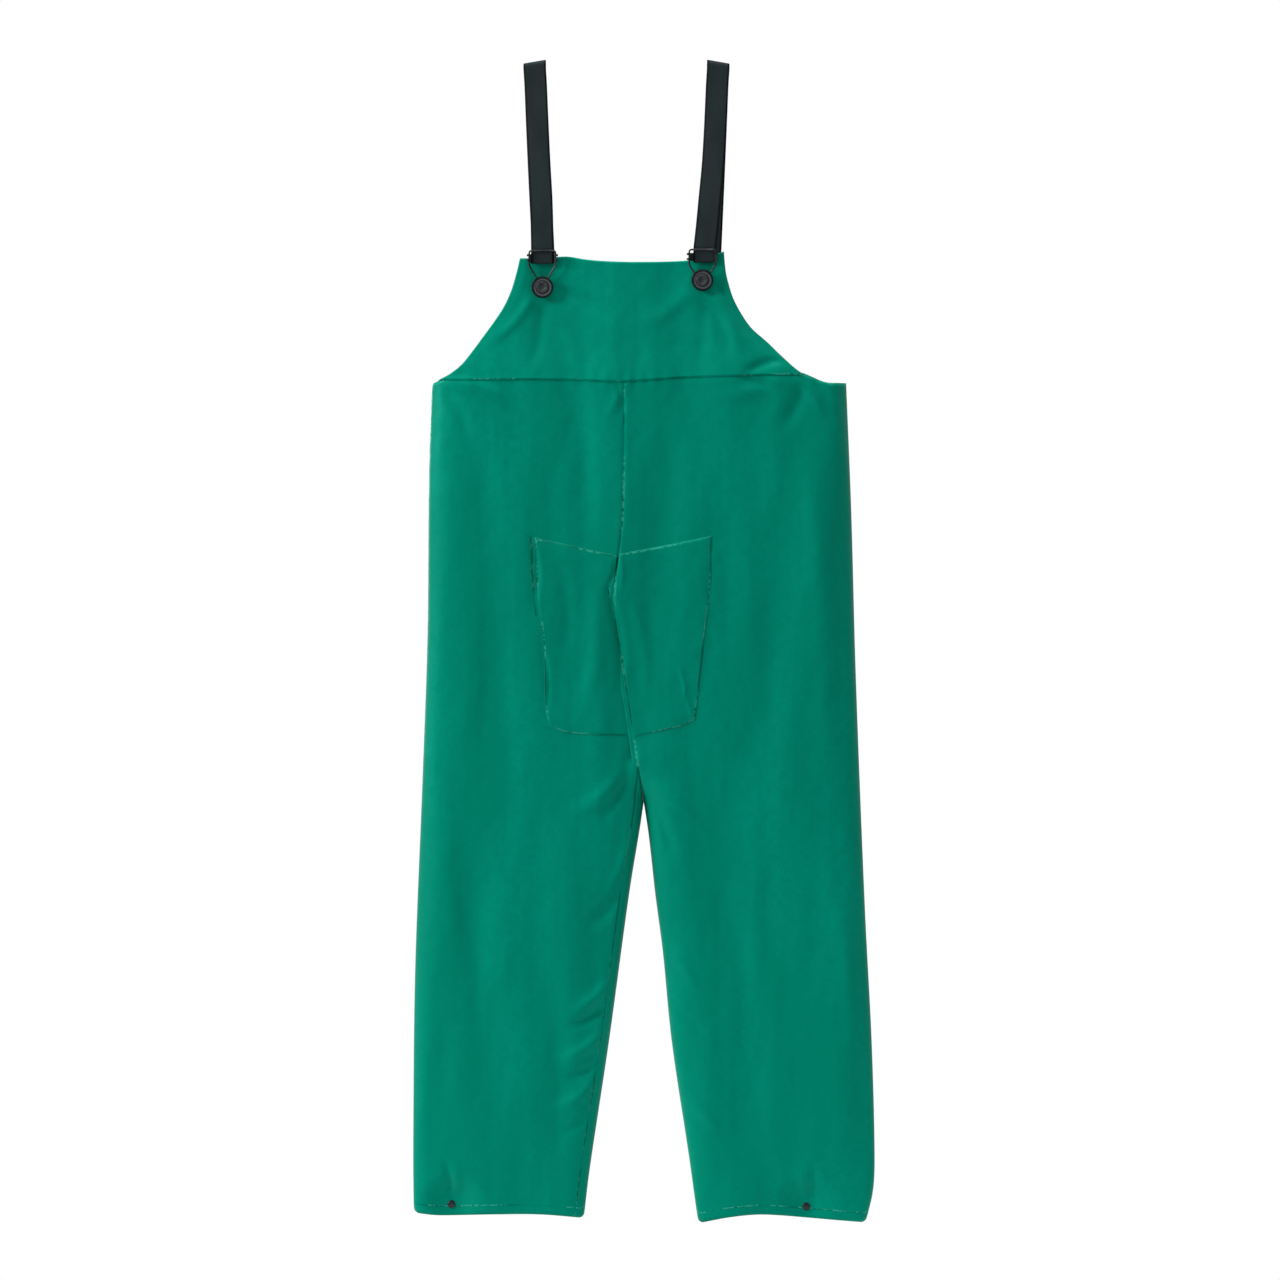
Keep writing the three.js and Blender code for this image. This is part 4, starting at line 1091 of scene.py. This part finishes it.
def keyhole_line():
    """The closed line of the wire in (x, z), walked in even steps of about 0.7 mm."""
    quarter = np.linspace(0, math.pi / 2, 12)
    corner = np.stack([HALF_WIDTH - BEND + BEND * np.sin(quarter), BAR - BEND + BEND * np.cos(quarter)], -1)
    t = np.linspace(0, 1, 12)[:, None]

    def bow(a, b, c):
        return np.array(a) * (1 - t) ** 2 + 2 * np.array(b) * t * (1 - t) + np.array(c) * t**2

    width, slot = HALF_WIDTH, SLOT_RADIUS
    shoulder = bow((width, SHOULDER + BEND), (width, SHOULDER), (width - 0.6 * BEND, SHOULDER - BEND))
    neck = bow((slot + 0.6 * BEND, SLOT_TOP + BEND), (slot, SLOT_TOP), (slot, SLOT_TOP - BEND))
    round_end = np.stack([SLOT_RADIUS * np.cos(quarter), -SLOT_RADIUS * np.sin(quarter)], -1)
    half = np.concatenate([corner, shoulder, neck, round_end])
    line = np.concatenate([half, (half * (-1, 1))[::-1], half[:1]])
    length = np.concatenate([[0], np.cumsum(np.hypot(*np.diff(line, axis=0).T))])
    even = np.linspace(0, length[-1], 232)[:-1]
    return np.stack([np.interp(even, length, line[:, 0]), np.interp(even, length, line[:, 1])], -1)


def wire_frame(name, side):
    """A buckle's wire: sixteen points carried round the keyhole line, its corners softened."""
    line = keyhole_line() - (0, side["buckle_drop"])
    for _ in range(2):
        line = (np.roll(line, 1, 0) + 2 * line + np.roll(line, -1, 0)) / 4
    ahead = np.roll(line, -1, 0) - np.roll(line, 1, 0)
    ahead /= np.linalg.norm(ahead, axis=1)[:, None]
    turn = np.linspace(0, 2 * math.pi, 17)[:-1, None]
    x = line[:, 0] + WIRE * np.cos(turn) * ahead[:, 1]
    z = line[:, 1] - WIRE * np.cos(turn) * ahead[:, 0]
    grid = buckle_place(side, np.stack([x, WIRE * np.sin(turn) + 0 * x, z], -1))
    return grid_piece(name, grid, close_columns=True, close_rows=True)


def check_outward(piece):
    """Turns a closed mesh's faces out if its signed volume is negative."""
    work = bmesh.new()
    work.from_mesh(piece.data)
    if work.calc_volume(signed=True) < 0:
        bmesh.ops.reverse_faces(work, faces=work.faces)
    work.to_mesh(piece.data)
    work.free()
    return piece


for name, side in SIDES.items():
    wire = check_outward(wire_frame(f"{name}_buckle_wire", side))
    dress(wire, black_wire)
    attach(wire, f"{name}_buckle")
    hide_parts(f"{name}_buckle_frame")
    print(wire.name, len(wire.data.polygons), "quads")

# %% [markdown]
# ## The locking slide
# A plate lies behind the band and curls forwards round the side wires with four little ears. Pulling on the
# band presses plate and bar together, which grips it. The plate and ears are joined shapes with their edges
# rounded by a Bevel modifier, as the pressing tool leaves them.

# %% Slides
EAR_INNER, PLATE, EAR_HEIGHT, EAR_SETBACK = 2.35, 1.0, 3.0, 0.85
EAR_POINTS = 20


def solid_block(low, high):
    """Corners and outward quads of a box between two points."""
    corner = np.array([(x, y, z) for x in (0, 1) for y in (0, 1) for z in (0, 1)], float)
    points = np.array(low) + corner * (np.array(high) - low)
    quads = np.array([(0, 1, 3, 2), (4, 6, 7, 5), (0, 4, 5, 1), (2, 3, 7, 6), (0, 2, 6, 4), (1, 5, 7, 3)])
    return points, quads


def ear_block(mirror, foot):
    """A strip curled about the side wire, from beside the plate round to the front of the wire."""
    turn = np.linspace(math.pi / 2, -1.2, EAR_POINTS)
    arc = np.stack([np.cos(turn), np.sin(turn)], -1)
    section = np.concatenate([arc * (EAR_INNER + PLATE), arc[::-1] * EAR_INNER])
    x, y = mirror * (section[:, 0] + HALF_WIDTH), section[:, 1] + EAR_SETBACK
    low = np.stack([x, y, 0 * x + foot], -1)
    points = np.concatenate([low, low + (0, 0, EAR_HEIGHT)])
    count = len(section)
    ring = np.arange(count)
    wall = np.stack([ring, np.roll(ring, -1), np.roll(ring, -1) + count, ring + count], -1)
    outer, inner = ring[:EAR_POINTS], ring[EAR_POINTS:][::-1]
    cap = np.stack([outer[:-1], inner[:-1], inner[1:], outer[1:]], -1)
    return points, np.concatenate([wall, cap, cap[:, ::-1] + count])


for name, side in SIDES.items():
    drop = side["buckle_drop"]
    blocks = [solid_block((-HALF_WIDTH, PLATE_Y - 0.5, SLIDE_LOW), (HALF_WIDTH, PLATE_Y + 0.5, SLIDE_HIGH))]
    blocks += [ear_block(m, f) for m in (1, -1) for f in (SLIDE_HIGH - EAR_HEIGHT, SLIDE_LOW + 1.2)]
    parts = []
    for number, (points, quads) in enumerate(blocks):
        placed = buckle_place(side, points - (0, 0, drop))
        parts.append(check_outward(make_mesh(f"{name}_slide_{number}", placed, quads)))
    plate = parts[0]
    plate.name = f"{name}_slide_plate"
    with bpy.context.temp_override(active_object=plate, object=plate, selected_editable_objects=parts):
        bpy.ops.object.join()
    edges = plate.modifiers.new("pressed edges", "BEVEL")
    edges.width = 0.22 * MM
    edges.segments = 3
    edges.limit_method = "ANGLE"
    dress(plate, black_wire)
    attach(plate, f"{name}_slide")
    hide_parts(f"{name}_locking_slide")
    print(plate.name, len(plate.data.polygons), "faces")

# %% [markdown]
# ## Buttons and snaps
# These are pressed and turned, so each is an outline spun round its own axis. Cutting the outline's corners
# twice gives them the soft radius of pressed sheet metal.

# %% Turned pieces
def cut_corners(outline, closed, times=2):
    """Replaces every corner by two points a quarter in from it; the ends of an open outline stay on the
    axis."""
    line = np.array(outline, float)
    for _ in range(times):
        after = np.roll(line, -1, 0) if closed else line[1:]
        before = line if closed else line[:-1]
        pairs = np.stack([before * 0.75 + after * 0.25, before * 0.25 + after * 0.75], 1).reshape(-1, 2)
        line = pairs if closed else np.concatenate([line[:1], pairs[1:-1], line[-1:]])
    return line


def turned(name, outline, centre, closed=False, segments=72):
    """An outline of (radius, y) spun round the Y axis at centre."""
    line = cut_corners(outline, closed)
    turn = np.linspace(0, 2 * math.pi, segments + 1)[:-1, None]
    radius, y = line[:, 0], line[:, 1]
    grid = np.stack([radius * np.cos(turn), y + 0 * turn, radius * np.sin(turn)], -1) + centre
    marks = {"from_axis": np.broadcast_to(radius, grid.shape[:2])}
    piece = grid_piece(name, grid, close_columns=True, close_rows=closed, marks=marks)
    return check_outward(merge_points(piece))


def button_outline():
    """(radius, y) from the axis inside the shank, out under the cap, over its rim and in across its rings.
    A point given twice keeps that corner sharper."""
    back, rim, bore, shank = -BUTTON_STAND_OFF, 14.5, 1.9, 3.6
    shank_end = -0.8
    return [
        (0, back + 0.3), (bore, back + 0.3), (bore, back + 0.3), (bore, shank_end), (bore, shank_end),
        (shank, shank_end), (shank, shank_end), (shank, back), (shank, back), (rim - 1, back),
        (rim, back - 0.6), (rim, back - 2.0), (rim - 0.8, back - 3.0), (rim - 2.2, back - 3.1),
        (rim - 3.2, back - 2.2), (rim - 4.6, back - 2.05), (rim - 6.1, back - 2.3), (rim - 7.0, back - 3.05),
        (rim - 9.2, back - 3.1), (rim - 10.4, back - 2.5), (rim - 11.6, back - 1.8), (0, back - 1.6),
    ]


def tack_outline():
    """A pin with a flat head behind the bib and its patch."""
    pin, head_radius, head = 1.5, 5.5, 3.9
    return [
        (0, -5.5), (pin - 0.3, -5.3), (pin, -4.9), (pin, head), (pin, head), (head_radius, head),
        (head_radius, head + 1), (0, head + 1.2),
    ]


def snap_outlines():
    """Outline of each part of an ankle snap, and whether it closes on itself, from the front cap to the
    rear post."""
    front, inside, back, outside = -PINCH_HALF - 0.1, -PINCH_HALF + 1.9, PINCH_HALF - 1.9, PINCH_HALF + 0.3
    return {
        "snap_cap": ([(0, front - 1.7), (2.4, front - 1.65), (4.3, front - 1.3), (5.25, front - 0.6),
                      (5.25, front), (5.25, front), (1.7, front), (1.7, front), (1.7, inside + 0.9),
                      (0, inside + 0.9)], False),
        "snap_socket": ([(2.0, inside), (4.6, inside), (4.6, inside + 1.9), (2.5, inside + 1.9),
                         (2.5, inside + 1.1), (2.0, inside + 1.1)], True),
        "snap_stud": ([(1.2, back), (4.4, back), (4.4, back - 0.7), (2.1, back - 0.7), (2.1, back - 1.4),
                       (1.2, back - 1.4)], True),
        "snap_post": ([(0, outside + 1), (2.6, outside + 0.95), (4.4, outside + 0.6), (4.4, outside),
                       (4.4, outside), (0.9, outside), (0.9, outside), (0.9, back - 1),
                       (0, back - 1)], False),
    }


for name, side in SIDES.items():
    centre = np.array([side["button"][0], bib_at(side), side["button"][1]])
    cap = turned(f"{name}_button", button_outline(), centre)
    dress(cap, button_metal)
    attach(cap, f"{name}_button")
    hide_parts(f"{name}_button_cap")
    tack = turned(f"{name}_tack", tack_outline(), centre)
    dress(tack, button_metal)
    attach(tack, "overalls")
    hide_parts(f"{name}_button_tack")
    for part, (outline, closed) in snap_outlines().items():
        snap = turned(f"{name}_{part}_metal", outline, (side["snap"][0], 0, side["snap"][1]), closed)
        dress(snap, snap_metal)
        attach(snap, f"{name}_leg")
        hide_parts(f"{name}_{part}")
    print(name, "button", len(cap.data.polygons), "faces")

# %% [markdown]
# ## Floor and light
# The garment hangs free over a round pale floor. Four soft area lights stand round it: a key from the upper
# left that rakes over the folds, a weak fill from the right, one behind for the views of the back, and one
# overhead. The surroundings are white to look at but give only part of that light, so the folds keep their
# shade.

# %% Studio
FLOOR = -1.72
FLOOR_RADIUS = 1.6


def round_floor():
    """A flat disc on a grid of rings and spokes; its centre points are merged to one."""
    spoke = np.linspace(0, 2 * math.pi, 65)[:-1, None]
    ring = np.linspace(0, FLOOR_RADIUS, 9)[None, :]
    grid = np.stack([ring * np.cos(spoke), ring * np.sin(spoke), FLOOR + 0 * spoke * ring], -1) / MM
    return merge_points(grid_piece("floor", grid, inside=(0, 0, -9000), close_columns=True))


def soft_light(name, place, size, watts, target=(0.02, 0, -0.8)):
    """A rectangular area light at a place, turned to face the target."""
    data = bpy.data.lights.new(name, "AREA")
    data.shape = "RECTANGLE"
    data.size, data.size_y = size
    data.energy = watts
    lamp = bpy.data.objects.new(name, data)
    lamp.location = place
    away = np.array(place) - np.array(target)
    tilt = math.atan2(math.hypot(away[0], away[1]), away[2])
    lamp.rotation_euler = (tilt, 0, math.atan2(away[0], -away[1]))
    bpy.context.collection.objects.link(lamp)


def white_surroundings(strength):
    """A world that is plain white to the eye and lights the scene with the given strength."""
    world = bpy.data.worlds.new("studio")
    world.use_nodes = True
    tree = world.node_tree
    seen = add_node(tree, "ShaderNodeLightPath", {}).outputs["Is Camera Ray"]
    light = remap(tree, seen, 0, 1, strength, 1)
    tree.links.new(light, tree.nodes["Background"].inputs["Strength"])
    tree.nodes["Background"].inputs["Color"].default_value = (1, 1, 1, 1)
    bpy.context.scene.world = world


floor = round_floor()
paper, paper_tree, paper_shader = start_material("floor_paper", 0.9, specular=0.2)
paper_place = add_node(paper_tree, "ShaderNodeTexCoord", {}).outputs["Object"]
paper_tone = mix(paper_tree, cloud(paper_tree, paper_place, 3), (0.7, 0.7, 0.7, 1), (0.75, 0.75, 0.75, 1))
paper_tree.links.new(paper_tone, paper_shader.inputs["Base Color"])
floor.data.materials.append(paper)
soft_light("key", (-4.2, -1.5, 1.5), (1.4, 1.4), 320)
soft_light("fill", (3.2, -3.4, 0.0), (2.4, 2.4), 28)
soft_light("back_fill", (-1.5, 3.8, 0.6), (2.4, 2.4), 110)
soft_light("overhead", (0, 0, 2.6), (2.0, 2.0), 170)
white_surroundings(0.42)
bpy.context.scene.view_settings.view_transform = "Standard"
print("lights", len(bpy.data.lights))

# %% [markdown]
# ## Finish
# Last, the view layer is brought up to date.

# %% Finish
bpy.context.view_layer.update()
